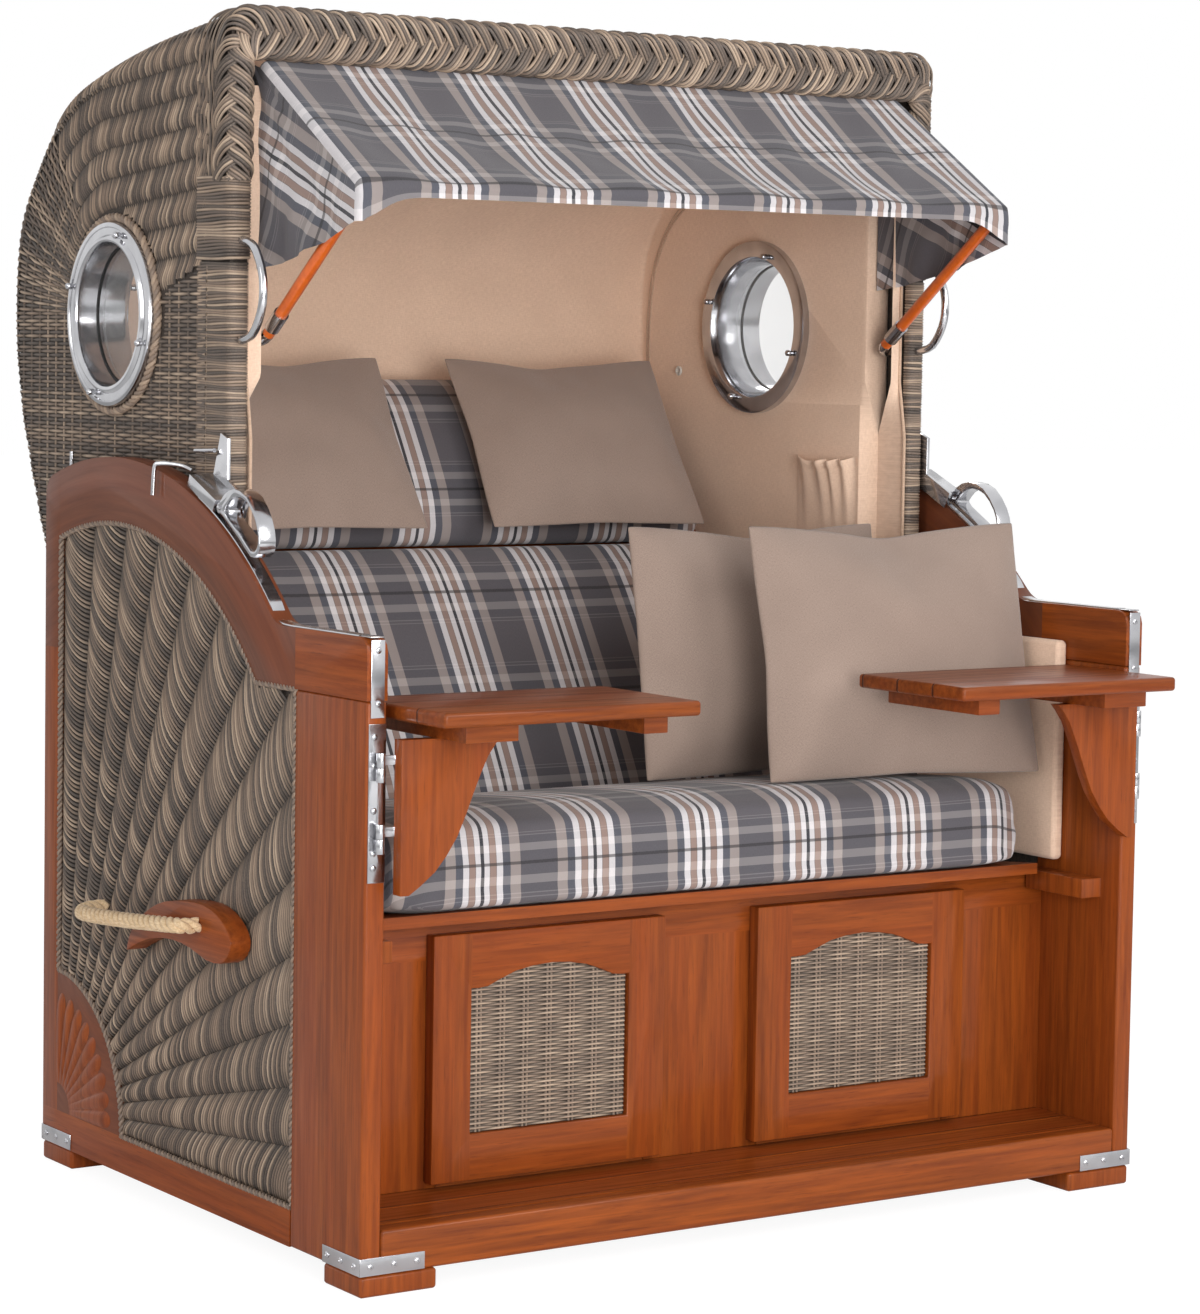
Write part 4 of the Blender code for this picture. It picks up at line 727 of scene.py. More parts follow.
def panel_strands(sign):
    strands, share = [], np.linspace(0, 1, 9)
    closed = np.vstack([opening, opening[:1]])
    for band in range(PANEL_BANDS):
        low, high = (math.radians(90 + 90 * (band + k) / PANEL_BANDS) for k in (0, 1))
        radius = 0.196
        while radius < 0.98:
            width = radius * (high - low)
            angle = low + (high - low) * share
            out = radius - 0.50 * width * (1 - (1 - share) ** 2)
            y, z = FAN_Y + out * np.cos(angle), FAN_Z + out * np.sin(angle)
            height = np.sin(math.pi * share) ** 0.7
            flat = np.stack([y, z], 1)
            keep = inside(opening, flat) | (distance_to(closed, flat) < 0.004)
            line = np.stack([sign * (PANEL_FACE - 0.0030 + BAND_SWELL * height), y, z], 1)
            for a, b in kept_runs(keep):
                strands.append((line[a:b], (sign, 0, 0), (height * 2 - 1)[a:b]))
            radius += PANEL_STEP
    return strands


def twisted(name, path, radius, strands, pitch, body, finish, sides=6):
    """A thin border of strands twisted round each other along a path."""
    lengths = np.concatenate([[0], np.cumsum(np.linalg.norm(np.diff(path, axis=0), axis=1))])
    steps = max(int(lengths[-1] / (pitch / 7)), 8)
    fine = np.linspace(0, lengths[-1], steps)
    middle = np.stack([np.interp(fine, lengths, path[:, k]) for k in range(3)], 1)
    _, beside, over = frames_along(middle)
    made = []
    for number in range(strands):
        turn = (fine / pitch + number / strands) * 2 * math.pi
        ring = np.cos(turn)[:, None] * beside + np.sin(turn)[:, None] * over
        made.append(middle + ring * radius * 0.52)
    piece = tubes(name, made, radius * 0.55, sides)
    count = len(piece.data.vertices)
    chance = random.Random(name)
    tones = np.repeat([chance.random() * 0.6 + 0.3 for _ in made], steps * sides)
    # Fixed rib and rise values give the border an even share of the cane's painted shade.
    for key, numbers in (("strand", tones), ("rib", np.full(count, 0.9)), ("rise", np.full(count, 0.6))):
        layer = piece.data.attributes.new(key, "FLOAT", "POINT")
        layer.data.foreach_set("value", numbers.astype(np.float32))
    return finished(piece, body, "wicker", finish)


for side, sign in SIDES:
    panel = reeds(f"panel_weave_{side}", panel_strands(sign), PANEL_REED, side)
    finished(panel, "base", "wicker", CANE)
    # The panel's board, set back under the weave, is near-black: painted shade between the strands.
    board = merged(f"panel_board_{side}", f"side_wicker_{side}")
    co = points_of(board)
    co[:, 0] = np.sign(co[:, 0]) * (np.abs(co[:, 0]) - BOARD_SUNK)
    set_points(board, co)
    finished(board, "base", "wicker", SHADE_BACKING, f"side_wicker_{side}")
    edge = np.vstack([opening, opening[:1]])
    middle = np.stack([np.full(len(edge), sign * BORDER_X), edge[:, 0], edge[:, 1]], 1)
    twisted(f"panel_border_{side}", middle, BORDER_R, 2, BORDER_LAY, "base", CANE)


# Drawer inlays: pairs of upright stakes with thin pale cane woven in and out of them, row over row, over a
# board painted near-black as the shade behind the weave. Each fills the arched opening of a drawer's frame
# from behind.
# The inlay's rows darken further than other cane where they pass behind the stakes: painted shade.
INLAY_CANE = cane("inlay_cane", 1.1, dip_shade=0.10)
STAKE_PITCH, STAKE_PAIR, ROW_PITCH, ROW_WAVE = 0.036, 0.0030, 0.0030, 0.0023


def inlay(side, sign):
    low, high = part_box(f"footrest_wicker_{side}")
    face, rows, stakes = low.y, [], []
    middle = (low.x + high.x) / 2
    count = int((high.z - low.z) / ROW_PITCH)
    x = np.arange(low.x + 0.001, high.x - 0.0005, 0.006)
    for row in range(count):
        z = low.z + 0.0025 + ROW_PITCH * row
        wave = np.cos(math.pi * ((x - middle) / STAKE_PITCH + row))
        line = np.stack([x, face - 0.0005 - ROW_WAVE * wave, z + 0.0007 * wave], 1)
        rows.append((line, (0, -1, 0), wave))
    z = np.linspace(low.z + 0.001, high.z - 0.001, 30)
    for stake in range(-4, 5):
        for pair in (-STAKE_PAIR, STAKE_PAIR):
            place = middle + stake * STAKE_PITCH + pair
            if low.x + 0.003 < place < high.x - 0.003:
                line = np.stack([np.full(30, place), np.full(30, face - 0.0009), z], 1)
                stakes.append((line, (0, -1, 0), 0.0))
    return rows, stakes


for side, sign in SIDES:
    body = f"footrest_{side}"
    rows, stakes = inlay(side, sign)
    weft = reeds(f"inlay_weft_{side}", rows, 0.0036, side, 0.7, (0.55, 0.90))
    finished(weft, body, "wicker", INLAY_CANE)
    uprights = reeds(f"inlay_stakes_{side}", stakes, 0.0044, side, tones=(0.55, 0.80))
    finished(uprights, body, "wicker", CANE)
    # The inlay's board behind the weave is near-black: painted shade between the strands.
    board = merged(f"inlay_board_{side}", f"footrest_wicker_{side}")
    co = points_of(board)
    co[:, 1] += 0.004
    set_points(board, co)
    finished(board, body, "wicker", SHADE_BACKING, f"footrest_wicker_{side}")


# Hood shell: on each side long bands of cane run back from the rim, turn down round the
# porthole and pass into a plain weave that goes on down to the hood's lower edge.
HOLE_Y, HOLE_Z, HOLE_R = 0.323 + BASE_MID_Y, 1.20, 0.1375
HOOD_FACE, HOOD_ROUND, RIM_BACK = 0.5828, 0.030, 0.0515 + BASE_MID_Y
HOOD_SHARES = (
    (0.0916, 0.993), (0.3545, 0.9735), (0.579, 0.947), (0.752, 0.9115), (0.889, 0.836), (0.978, 0.761),
    (1.0, 0.6646), (0.982, 0.5487), (0.904, 0.4204), (0.756, 0.2212), (0.638, 0.0),
)
profile = smooth_path([(-0.012 + 0.677 * a + BASE_MID_Y, 0.47 + 1.13 * b) for a, b in HOOD_SHARES], 8)
profile[0, 0] = 0.050 + BASE_MID_Y
hood_side = np.vstack([profile, [(RIM_BACK - 0.0015, 0.62)], [(RIM_BACK - 0.0015, profile[0, 1])]])
HOOD_BANDS, BAND_WIDE, BAND_START = 9, 0.042, 0.020
PLAIN_STEP, PLAIN_PITCH, PLAIN_WAVE = 0.0054, 0.027, 0.0020
TURN_R = 0.27
TURN_END = TURN_R * math.pi / 2


def hood_place(run, out):
    """Side view place of a point: run goes back from the porthole's middle, round it and down."""
    angle = np.clip(run, 0, TURN_END) / TURN_R
    over = np.clip(run - TURN_END, 0, None)
    y = np.where(run < 0, run, 0) + out * np.sin(angle)
    z = out * np.cos(angle) - over - 0.085 * np.where(run < 0, run, 0)
    return np.stack([HOLE_Y + y, HOLE_Z + z], 1)


def hood_mask(flat):
    far = distance_to(profile, flat)
    clear = np.hypot(flat[:, 0] - HOLE_Y, flat[:, 1] - HOLE_Z) > HOLE_R
    return inside(hood_side, flat) & (far > 0.0035) & clear, far


def on_side(sign, flat, far, height):
    """Points over the hood's side, which rounds off towards its edge."""
    short = np.clip(HOOD_ROUND - far, 0, HOOD_ROUND)
    x = HOOD_FACE - HOOD_ROUND + np.sqrt(HOOD_ROUND**2 - short**2) + height
    return np.stack([sign * x, flat[:, 0], flat[:, 1]], 1)


def diagonal(y):
    """Height of the line that parts bands and plain weave in front of the porthole."""
    return 1.272 - (y - RIM_BACK) * 0.34


def hood_strands(sign, seed):
    chance = random.Random(seed)
    strands = []
    share = np.linspace(0, 1, 8)
    for band in range(-1, HOOD_BANDS):
        low = BAND_START + BAND_WIDE * band
        high = BAND_START + BAND_WIDE * (band + 1)
        run = -0.277
        while run < 0.20 - 0.004 * band:
            lean = run + 0.009 * (share - 0.5) - 0.0035 * np.sin(2 * math.pi * share)
            flat = hood_place(lean, high - (high - low) * share)
            keep, far = hood_mask(flat)
            keep &= flat[:, 1] > diagonal(flat[:, 0])
            wave = np.sin(math.pi * share)
            line = on_side(sign, flat, far, -0.0022 + 0.0046 * wave**0.8)
            for a, b in kept_runs(keep):
                strands.append((line[a:b], (sign, 0, 0), (wave * 2 - 1)[a:b]))
            run += 0.0056 + 0.0014 * chance.random()
    return strands


def hood_plain(sign):
    rows, stakes, pitch = [], [], PLAIN_PITCH
    out = np.arange(-0.324, 0.40, pitch / 2)
    count = int((TURN_END + 0.74 - 0.185) / PLAIN_STEP)
    for row in range(count):
        run = 0.185 + PLAIN_STEP * row
        flat = hood_place(np.full(len(out), run), out)
        keep, far = hood_mask(flat)
        if run < TURN_END:
            keep &= out > 0.05
        wave = np.cos(math.pi * (out / pitch + row))
        line = on_side(sign, flat, far, PLAIN_WAVE * wave)
        for a, b in kept_runs(keep):
            rows.append((line[a:b], (sign, 0, 0), wave[a:b]))
    for row in range(12):
        y = np.arange(RIM_BACK, HOLE_Y, pitch / 2)
        flat = np.stack([y, np.full(len(y), 1.2005 + PLAIN_STEP * row)], 1)
        keep, far = hood_mask(flat)
        keep &= flat[:, 1] < diagonal(y)
        wave = np.cos(math.pi * ((y - HOLE_Y) / pitch + row))
        line = on_side(sign, flat, far, PLAIN_WAVE * wave)
        for a, b in kept_runs(keep, 2):
            rows.append((line[a:b], (sign, 0, 0), wave[a:b]))
    run = np.arange(0.175, TURN_END + 0.74, 0.0108)
    for number in range(-10, 15):
        flat = hood_place(run, np.full(len(run), pitch * number))
        keep, far = hood_mask(flat)
        if number <= 4:
            flat[:, 1] = np.where(run < TURN_END, HOLE_Z + TURN_END - run, flat[:, 1])
            flat[:, 0] = HOLE_Y + pitch * number
            keep, far = hood_mask(flat)
            keep &= flat[:, 1] < np.where(flat[:, 0] < HOLE_Y, diagonal(flat[:, 0]), 0)
            keep |= hood_mask(flat)[0] & (flat[:, 1] < HOLE_Z)
        line = on_side(sign, flat, far, 0.0)
        for a, b in kept_runs(keep):
            stakes.append((line[a:b], (sign, 0, 0), 0.0))
    return rows, stakes


def shrunk(name, source, distance):
    """A node's own shape, a little smaller all round, as the core under a weave."""
    core = merged(name, source)
    bpy.ops.object.mode_set(mode="EDIT")
    bpy.ops.mesh.select_all(action="SELECT")
    bpy.ops.transform.shrink_fatten(value=-distance)
    bpy.ops.object.mode_set(mode="OBJECT")
    return core


# The hood's core under the weave is near-black: painted shade between the strands.
finished(shrunk("hood_core", "hood_shell", 0.0035), "hood", "wicker", SHADE_BACKING, "hood_shell")
for side, sign in SIDES:
    bands = reeds(f"hood_bands_{side}", hood_strands(sign, side), 0.0056, side)
    finished(bands, "hood", "wicker", CANE)
    rows, stakes = hood_plain(sign)
    finished(reeds(f"hood_weft_{side}", rows, 0.0047, side), "hood", "wicker", CANE)
    finished(reeds(f"hood_stakes_{side}", stakes, 0.0050, side), "hood", "wicker", CANE)
    around = arc_points(HOLE_Y, HOLE_Z, 0.1335, 0, 360, 90)
    ring = np.stack([np.full(90, sign * 0.5845), around[:, 0], around[:, 1]], 1)
    twisted(f"porthole_border_{side}", ring, 0.0062, 3, 0.030, "hood", CANE)


# Roof and back of the hood: the same cane, woven from side to side over upright stakes two
# fingers apart, in one unbroken sheet that rounds off into the sides at both ends.
def roof_weave():
    rows, stakes = [], []
    lengths = np.concatenate([[0], np.cumsum(np.linalg.norm(np.diff(profile, axis=0), axis=1))])
    slope = np.gradient(profile, axis=0)
    slope /= np.linalg.norm(slope, axis=1)[:, None]
    away = np.stack([-slope[:, 1], slope[:, 0]], 1)
    run = np.arange(0.003, lengths[-1] - 0.003, 0.0072)
    y, z = (np.interp(run, lengths, profile[:, k]) for k in (0, 1))
    ny, nz = (np.interp(run, lengths, away[:, k]) for k in (0, 1))
    pitch = STAKE_PITCH
    bend = np.radians((12, 26, 40, 54, 68, 80))
    corner = HOOD_FACE - HOOD_ROUND + HOOD_ROUND * np.sin(bend)
    x = np.concatenate([-corner[::-1], np.linspace(-0.5528, 0.5528, 62), corner])
    short = np.clip(HOOD_ROUND - (HOOD_FACE - np.abs(x)), 0, HOOD_ROUND)
    fall = HOOD_ROUND - np.sqrt(HOOD_ROUND**2 - short**2)
    for row in range(len(run)):
        wave = np.cos(math.pi * (x / pitch + row))
        level = 0.0018 * wave - fall
        line = np.stack([x, y[row] + ny[row] * level, z[row] + nz[row] * level], 1)
        rows.append((line, (0, ny[row], nz[row]), wave))
    for number in range(-15, 16):
        line = np.stack([np.full(len(run), number * pitch), y, z], 1)[::2]
        normal = np.stack([np.zeros(len(run)), ny, nz], 1)[::2]
        stakes.append((line, normal, 0.0))
    return rows, stakes


rows, stakes = roof_weave()
finished(reeds("hood_back_weft", rows, 0.0062, "back"), "hood", "wicker", CANE)
finished(reeds("hood_back_stakes", stakes, 0.0070, "back"), "hood", "wicker", CANE)


# Hood rim: a bow of thick cane, covered by a flat braid over the top and the corners, and below
# it wound round and round, with a wider cuff where the braid ends.
RIM_Q_X, RIM_Q_Z, RIM_IN = 0.545, 1.529, 0.006
RIM_TURN = 0.066
CUFF_START, CUFF_END = RIM_Q_X + RIM_TURN + 0.150, RIM_Q_X + RIM_TURN + 0.262
RIM_FOOT = RIM_Q_X + RIM_TURN + RIM_Q_Z - 0.622


def rim_surface(run, girth, height):
    """Points and normals over the rim. Run goes from the middle of the top out and down, to the
    left below zero, and girth from the rim's inner face over its front to its outer face."""
    run = np.asarray(run, float)
    sign, run = np.where(run < 0, -1.0, 1.0), np.abs(run)
    girth, height = np.broadcast_to(girth, run.shape), np.broadcast_to(height, run.shape)
    angle = np.clip((run - RIM_Q_X) / RIM_TURN, 0, 1) * math.pi / 2
    sine, cosine = np.sin(angle), np.cos(angle)
    reach = np.minimum(0.071 / np.maximum(cosine, 1e-6), 0.038 / np.maximum(sine, 1e-6))
    to_x, to_z = 0.008, 0.041
    round_x, round_z = reach * sine > to_x, reach * cosine > to_z
    ahead_of = sine * to_x + cosine * to_z
    curved = ahead_of + np.sqrt(np.maximum(ahead_of**2 - to_x**2 - to_z**2 + 0.030**2, 0))
    reach = np.where(round_x & round_z, np.minimum(curved, reach), reach)
    across_all = reach - RIM_IN
    r, corner = 0.011, 0.010
    second = corner + across_all
    a = np.clip(girth - corner, 0, None)
    a = np.minimum(a, across_all)
    y = -0.012 + np.maximum(corner - girth, 0) + np.maximum(girth - second, 0)
    turn_in = np.clip((girth - corner + r) / (2 * r), 0, 1) * math.pi / 2
    turn_out = np.clip((girth - second + r) / (2 * r), 0, 1) * math.pi / 2
    first = np.abs(girth - corner) < r
    last = np.abs(girth - second) < r
    na = -np.cos(turn_in) + np.sin(turn_out)
    ny = -np.sin(turn_in) * np.cos(turn_out)
    a = np.where(first, r - r * np.cos(turn_in), a)
    y = np.where(first, -0.012 + r - r * np.sin(turn_in), y)
    a = np.where(last, across_all - r + r * np.sin(turn_out), a)
    y = np.where(last, -0.012 + r - r * np.cos(turn_out), y)
    a, y = a + na * height, y + ny * height
    x = np.minimum(run, RIM_Q_X) + (RIM_IN + a) * sine
    z = RIM_Q_Z - np.maximum(run - RIM_Q_X - RIM_TURN, 0) + (RIM_IN + a) * cosine
    points = np.stack([sign * x, y + BASE_MID_Y, z], 1)
    normals = np.stack([sign * na * sine, ny, na * cosine], 1)
    return points, normals / np.linalg.norm(normals, axis=1)[:, None]


def braid():
    """Bundles of four strands: each starts along an edge, turns into the middle and dives under
    the bundle that comes from the other edge. They all point one way, left to right."""
    strands, pitch, width, piece = [], 0.0262, 0.0047, 0.0028
    turn = math.radians(-28) + math.radians(86) * (1 - np.exp(-np.arange(0, 0.100, piece) / 0.0150))
    run = np.cumsum(np.cos(turn)) * piece
    down = np.cumsum(np.sin(turn)) * piece
    down -= down.min()
    for half, spread in ((1, 0.0435), (-1, 0.0405)):
        last = int(np.searchsorted(down, spread + 0.010)) + 1
        count = int(2 * CUFF_START / pitch) + 6
        for bundle in range(count):
            start = -CUFF_START - 0.075 + pitch * (bundle + (0.5 if half < 0 else 0.0))
            for place in range(4):
                aside = width * (place - 0.5)
                path = start + run[:last] - aside * np.sin(turn[:last])
                girth = 0.0425 + half * (spread - down[:last] - aside * np.cos(turn[:last]))
                share = np.linspace(0, 1, last)
                crown = 0.0030 * math.sin(math.pi * (place + 0.5) / 4)
                height = (0.0078 + crown) * np.sin(math.pi * (0.12 + 0.84 * share)) - 0.0024
                points, normals = rim_surface(path, girth, height)
                for a, b in kept_runs(np.abs(path) < CUFF_START + 0.004):
                    strands.append((points[a:b], normals[a:b], (height / 0.0050 - 0.35)[a:b]))
    lengthways = np.linspace(-CUFF_START, CUFF_START, 420)
    for row in range(10):
        wave = np.cos(lengthways * 115 + row * math.pi)
        points, normals = rim_surface(lengthways, 0.0885 + 0.0052 * row, 0.0010 + 0.0012 * wave)
        strands.append((points, normals, wave * 0.6))
    return strands


def winding(sign, start, end, step, lift, seed):
    chance = random.Random(seed)
    strands, girth = [], np.linspace(-0.002, 0.131, 30)
    for number in range(int((end - start) / step)):
        run = start + step * number + 0.0010 * np.sin(girth * 40 + number * 0.7)
        height = np.full(30, lift + 0.0004 * chance.random())
        points, normals = rim_surface(sign * run, girth, height)
        strands.append((points, normals, 0.5))
    return strands


# The rim's core under the braid and winding is near-black: painted shade between the strands.
finished(shrunk("rim_core", "hood_rim", 0.006), "hood", "wicker", SHADE_BACKING, "hood_rim")
finished(reeds("rim_braid", braid(), 0.0052, "braid"), "hood", "wicker", CANE)
for side, sign in SIDES:
    cuff = winding(sign, CUFF_START, CUFF_END, 0.0042, 0.0030, side)
    post = winding(sign, CUFF_END, RIM_FOOT, 0.0036, 0.0002, side)
    finished(reeds(f"rim_winding_{side}", cuff + post, 0.0046, side), "hood", "wicker", CANE)


# Footrests: two drawers that slide out from under the bench to put the feet up. Each has a
# framed front of mahogany, its opening cut to a low arch at the top, screwed to a plain box.
for side, sign in SIDES:
    body = f"footrest_{side}"
    drawer = eased(f"drawer_frame_{side}", body, "mahogany", WOOD_Z, f"footrest_front_{side}")
    low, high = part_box(f"footrest_front_{side}")
    edges = (low.x + 0.058, high.x - 0.058)
    cuts = [((edge, 0, 0), (1, 0, 0)) for edge in edges]
    regrained(drawer, cuts, (WOOD_Z, WOOD_X), lambda c: 1 if edges[0] < c.x < edges[1] else 0)
    painted(WOOD_X, f"footrest_box_{side}")


# Upholstery: a long seat cushion and two back cushions of foam in covers of plaid cotton, woven
# in slate, white and brown, which swell a little over the foam. The same cloth makes the awning.
WARP_FROM, WARP_REPEAT, WEFT_REPEAT = 0.036, 0.174, 0.15


def plaid():
    cloth = Finish("plaid_cloth", 0.86, Sheen_Weight=0.15, Sheen_Roughness=0.5)
    place = cloth.coords("UV")
    u, v = cloth.part(place, 0), cloth.part(place, 1)
    warp, weft = (u + WARP_FROM) / WARP_REPEAT, v / WEFT_REPEAT
    warp, weft = warp.sum("FRACT", warp), weft.sum("FRACT", weft)
    warp, weft = (0.5 - (t - 0.5).sum("ABSOLUTE", t - 0.5) for t in (warp, weft))
    ground = (0.082, 0.074, 0.084)
    stops = (
        (0.0, (0.010, 0.010, 0.014)),
        (0.028, (0.82, 0.78, 0.79)),
        (0.124, (0.16, 0.12, 0.11)),
        (0.132, (0.36, 0.235, 0.185)),
        (0.240, (0.17, 0.13, 0.12)),
        (0.248, (0.80, 0.76, 0.77)),
        (0.356, (0.072, 0.076, 0.098)),
        (0.490, (0.36, 0.30, 0.275)),
        (0.670, ground),
    )
    colour = (warp * 2.0).node("ShaderNodeValToRGB", {0: warp * 2.0}, stops=stops, interpolation="CONSTANT")
    slate, light, faint = (0.050, 0.054, 0.068), (0.42, 0.39, 0.38), (0.30, 0.28, 0.28)
    picked = (
        (0.0, (0.004, 0.004, 0.006)),
        (0.034, slate),
        (0.22, light),
        (0.37, slate),
        (0.52, faint),
        (0.540, ground),
        (0.585, faint),
        (0.600, ground),
    )
    across = (weft * 2.0).node("ShaderNodeValToRGB", {0: weft * 2.0}, stops=picked, interpolation="CONSTANT")
    colour = colour.node("ShaderNodeMix", {0: 0.30, 6: colour, 7: across}, 2, data_type="RGBA")
    colour = ((weft * 2.0).between(0.024, 0.032, 0.30, 1.0)).mix((0.006, 0.006, 0.009), colour)
    threads = cloth.noise(cloth.moved((1400.0, 260.0, 1.0), "UV"), 1.0, 2.0, 0.6)
    picks = cloth.noise(cloth.moved((260.0, 1400.0, 1.0), "UV"), 1.0, 2.0, 0.6)
    colour = threads.between(0.3, 0.7, 0.0, 0.16).mix(colour, (0.20, 0.18, 0.19))
    cloth.set(Base_Color=colour)
    cloth.bump(threads + picks, 0.0004, 0.5)
    return cloth


def mottled(name, dark, light, scale=1.0):
    """A plain woven cloth of threads in two tones."""
    cloth = Finish(name, 0.9, Sheen_Weight=0.25, Sheen_Roughness=0.5)
    a = cloth.noise(cloth.moved((900.0 * scale, 160.0 * scale, 1.0), "UV"), 1.0, 2.0, 0.6)
    b = cloth.noise(cloth.moved((160.0 * scale, 900.0 * scale, 1.0), "UV"), 1.0, 2.0, 0.6)
    wide = cloth.noise(cloth.coords("UV"), 9.0, 3.0)
    colour = (a * 0.5 + b * 0.5).between(0.36, 0.64).mix(dark, light)
    colour = wide.between(0.3, 0.7, 0.0, 0.25).mix(colour, tuple(0.8 * c for c in dark))
    cloth.set(Base_Color=colour)
    cloth.bump(a + b, 0.0005, 0.5)
    return cloth


PLAID = plaid()
TAUPE = mottled("taupe_cloth", (0.235, 0.165, 0.132), (0.40, 0.300, 0.245), 2.4)
BEIGE = mottled("beige_canvas", (0.76, 0.53, 0.385), (0.90, 0.66, 0.50), 0.8)


def cloth_map(piece, u, v):
    """The cloth's own map in metres, from two numbers for each point."""
    mesh = piece.data
    while mesh.uv_layers:
        mesh.uv_layers.remove(mesh.uv_layers[0])
    layer = mesh.uv_layers.new(name="cloth")
    corners = np.empty(len(mesh.loops), np.int32)
    mesh.loops.foreach_get("vertex_index", corners)
    both = np.stack([u, v], 1)[corners].astype(np.float32)
    layer.data.foreach_set("uv", both.ravel())


def inflated(piece, pressure, frames, growth=0.0, stiffness=15.0):
    """Where each point of a closed skin ends after it has swelled as cloth, with no weight."""
    clear_selection()
    piece.select_set(True)
    bpy.context.view_layer.objects.active = piece
    cloth = piece.modifiers.new("cloth", "CLOTH")
    cloth.settings.quality = 6
    cloth.settings.use_pressure = True
    cloth.settings.uniform_pressure_force = pressure
    cloth.settings.effector_weights.gravity = 0.0
    cloth.settings.tension_stiffness = stiffness
    cloth.settings.compression_stiffness = stiffness
    cloth.settings.bending_stiffness = 0.3
    cloth.settings.shrink_min = -growth
    cloth.point_cache.frame_start, cloth.point_cache.frame_end = 1, frames
    for frame_number in range(1, frames + 1):
        bpy.context.scene.frame_set(frame_number)
    done = piece.evaluated_get(bpy.context.evaluated_depsgraph_get()).to_mesh()
    places = np.array([point.co[:] for point in done.vertices])
    piece.modifiers.remove(cloth)
    bpy.context.scene.frame_set(1)
    return places


def stuffed(name, source, voxel, chart, cap=0.0055, square=0.0):
    """A node's cushion as one soft skin that swells as cloth, with no point moved past cap."""
    piece = merged(name, source)
    apply(piece, "REMESH", mode="VOXEL", voxel_size=voxel)
    apply(piece, "SMOOTH", factor=0.5, iterations=2)
    clear_selection()
    piece.select_set(True)
    bpy.context.view_layer.objects.active = piece
    bpy.ops.object.shade_smooth()
    start = points_of(piece)
    normals = np.array([point.normal[:] for point in piece.data.vertices])
    edge = np.clip((1 - np.abs(normals).max(1)) / 0.293, 0, 1)[:, None]
    start = start + normals * edge * square * np.where(normals[:, 2:] > 0, 0.4, 1.0)
    set_points(piece, start)
    cloth_map(piece, *chart(start))
    move = inflated(piece, 4.0, 20, growth=0.012) - start
    length = np.linalg.norm(move, axis=1)[:, None] + 1e-9
    resting = np.clip(normals[:, 2:] * 2 + 1.7, 0.35, 1)
    set_points(piece, start + move * np.minimum(1, cap / length) * resting)
    apply(piece, "SUBSURF", levels=1, render_levels=1)
    return piece


over_seat = lambda co: (co[:, 0], -co[:, 1] + (co[:, 2].max() - co[:, 2]))
seat = stuffed("bench_cushion", "seat_cushion", 0.009, over_seat, square=0.009)
finished(seat, "base", "plaid_cloth", PLAID, "seat_cushion")
for part in ("lower", "upper"):
    on_back = lambda co: (co[:, 0], co[:, 2] * 1.17 - (co[:, 1] - 0.1) * 0.2)
    pad = stuffed(f"back_pad_{part}", f"back_cushion_{part}", 0.009, on_back)
    finished(pad, "hood", "plaid_cloth", PLAID, f"back_cushion_{part}")


# Pillows: two pieces of taupe cotton sewn together edge to edge and filled with down, so that
# the corners stand out as ears and the edges pucker. Two lean on the seat, two hang at the neck.
def sewn_pillow(width, thick, height):
    """Points and faces of a filled pillow round the origin: X across, Y thick, Z up."""
    across, up = 52, 42
    x, z = np.meshgrid(np.linspace(-1, 1, across + 1), np.linspace(-1, 1, up + 1), indexing="ij")
    swell = (1 - x**2) * (1 - z**2)
    chance = random.Random("pillow")
    rough = np.array([chance.random() for _ in range(x.size)]).reshape(x.shape) * 0.0012
    number = np.arange(x.size).reshape(x.shape)
    rim = (np.abs(x) == 1) | (np.abs(z) == 1)
    other = number.copy()
    other[~rim] = x.size + np.arange((~rim).sum())
    flat = np.stack([x * width * 0.56, -(0.010 + rough) * swell, z * height * 0.57], -1).reshape(-1, 3)
    back = np.stack([x * width * 0.56, (0.010 + rough) * swell, z * height * 0.57], -1)[~rim]
    faces = []
    for sheet, order in ((number, 1), (other, -1)):
        a, b, c, d = sheet[:-1, :-1], sheet[1:, :-1], sheet[1:, 1:], sheet[:-1, 1:]
        faces += np.stack([a, b, c, d], -1).reshape(-1, 4)[:, ::order].tolist()
    shell = from_points("pillow_pattern", np.concatenate([flat, back]), faces)
    places = inflated(shell, 7.0, 32, stiffness=20.0)
    chart = np.stack([x, z], -1).reshape(-1, 2) * (width / 2, height / 2)
    chart = np.concatenate([chart, chart.reshape(*x.shape, 2)[~rim] + 0.5])
    middle = (places.max(0) + places.min(0)) / 2
    size = np.array([width, thick, height])
    places = (places - middle) * (size / np.ptp(places, axis=0))
    flat = np.concatenate([flat, back]) * (1 / 1.12, 1, 1 / 1.14)
    moved = places - flat * (1, 0, 1)
    for sheet in (number, other):
        field = moved[sheet]
        for turn in range(24):
            wide = np.pad(field, ((1, 1), (1, 1), (0, 0)), "edge")
            mean = (wide[:-2, 1:-1] + wide[2:, 1:-1] + wide[1:-1, :-2] + wide[1:-1, 2:]) / 4
            if turn > 1:
                mean[..., 1] = field[..., 1]
            mean[rim, 1] = field[rim, 1]
            field = mean
        upward = 0.27 + 0.13 * flat[sheet][..., 2:] * 2 / height
        pull = np.concatenate([np.full_like(upward, 0.36), np.ones_like(upward), upward], 2)
        places[sheet] = flat[sheet] * (1, 0, 1) + field * pull
    bpy.data.objects.remove(shell)
    return places, chart, faces


SMALL, LARGE = sewn_pillow(0.39, 0.085, 0.30), sewn_pillow(0.445, 0.140, 0.365)


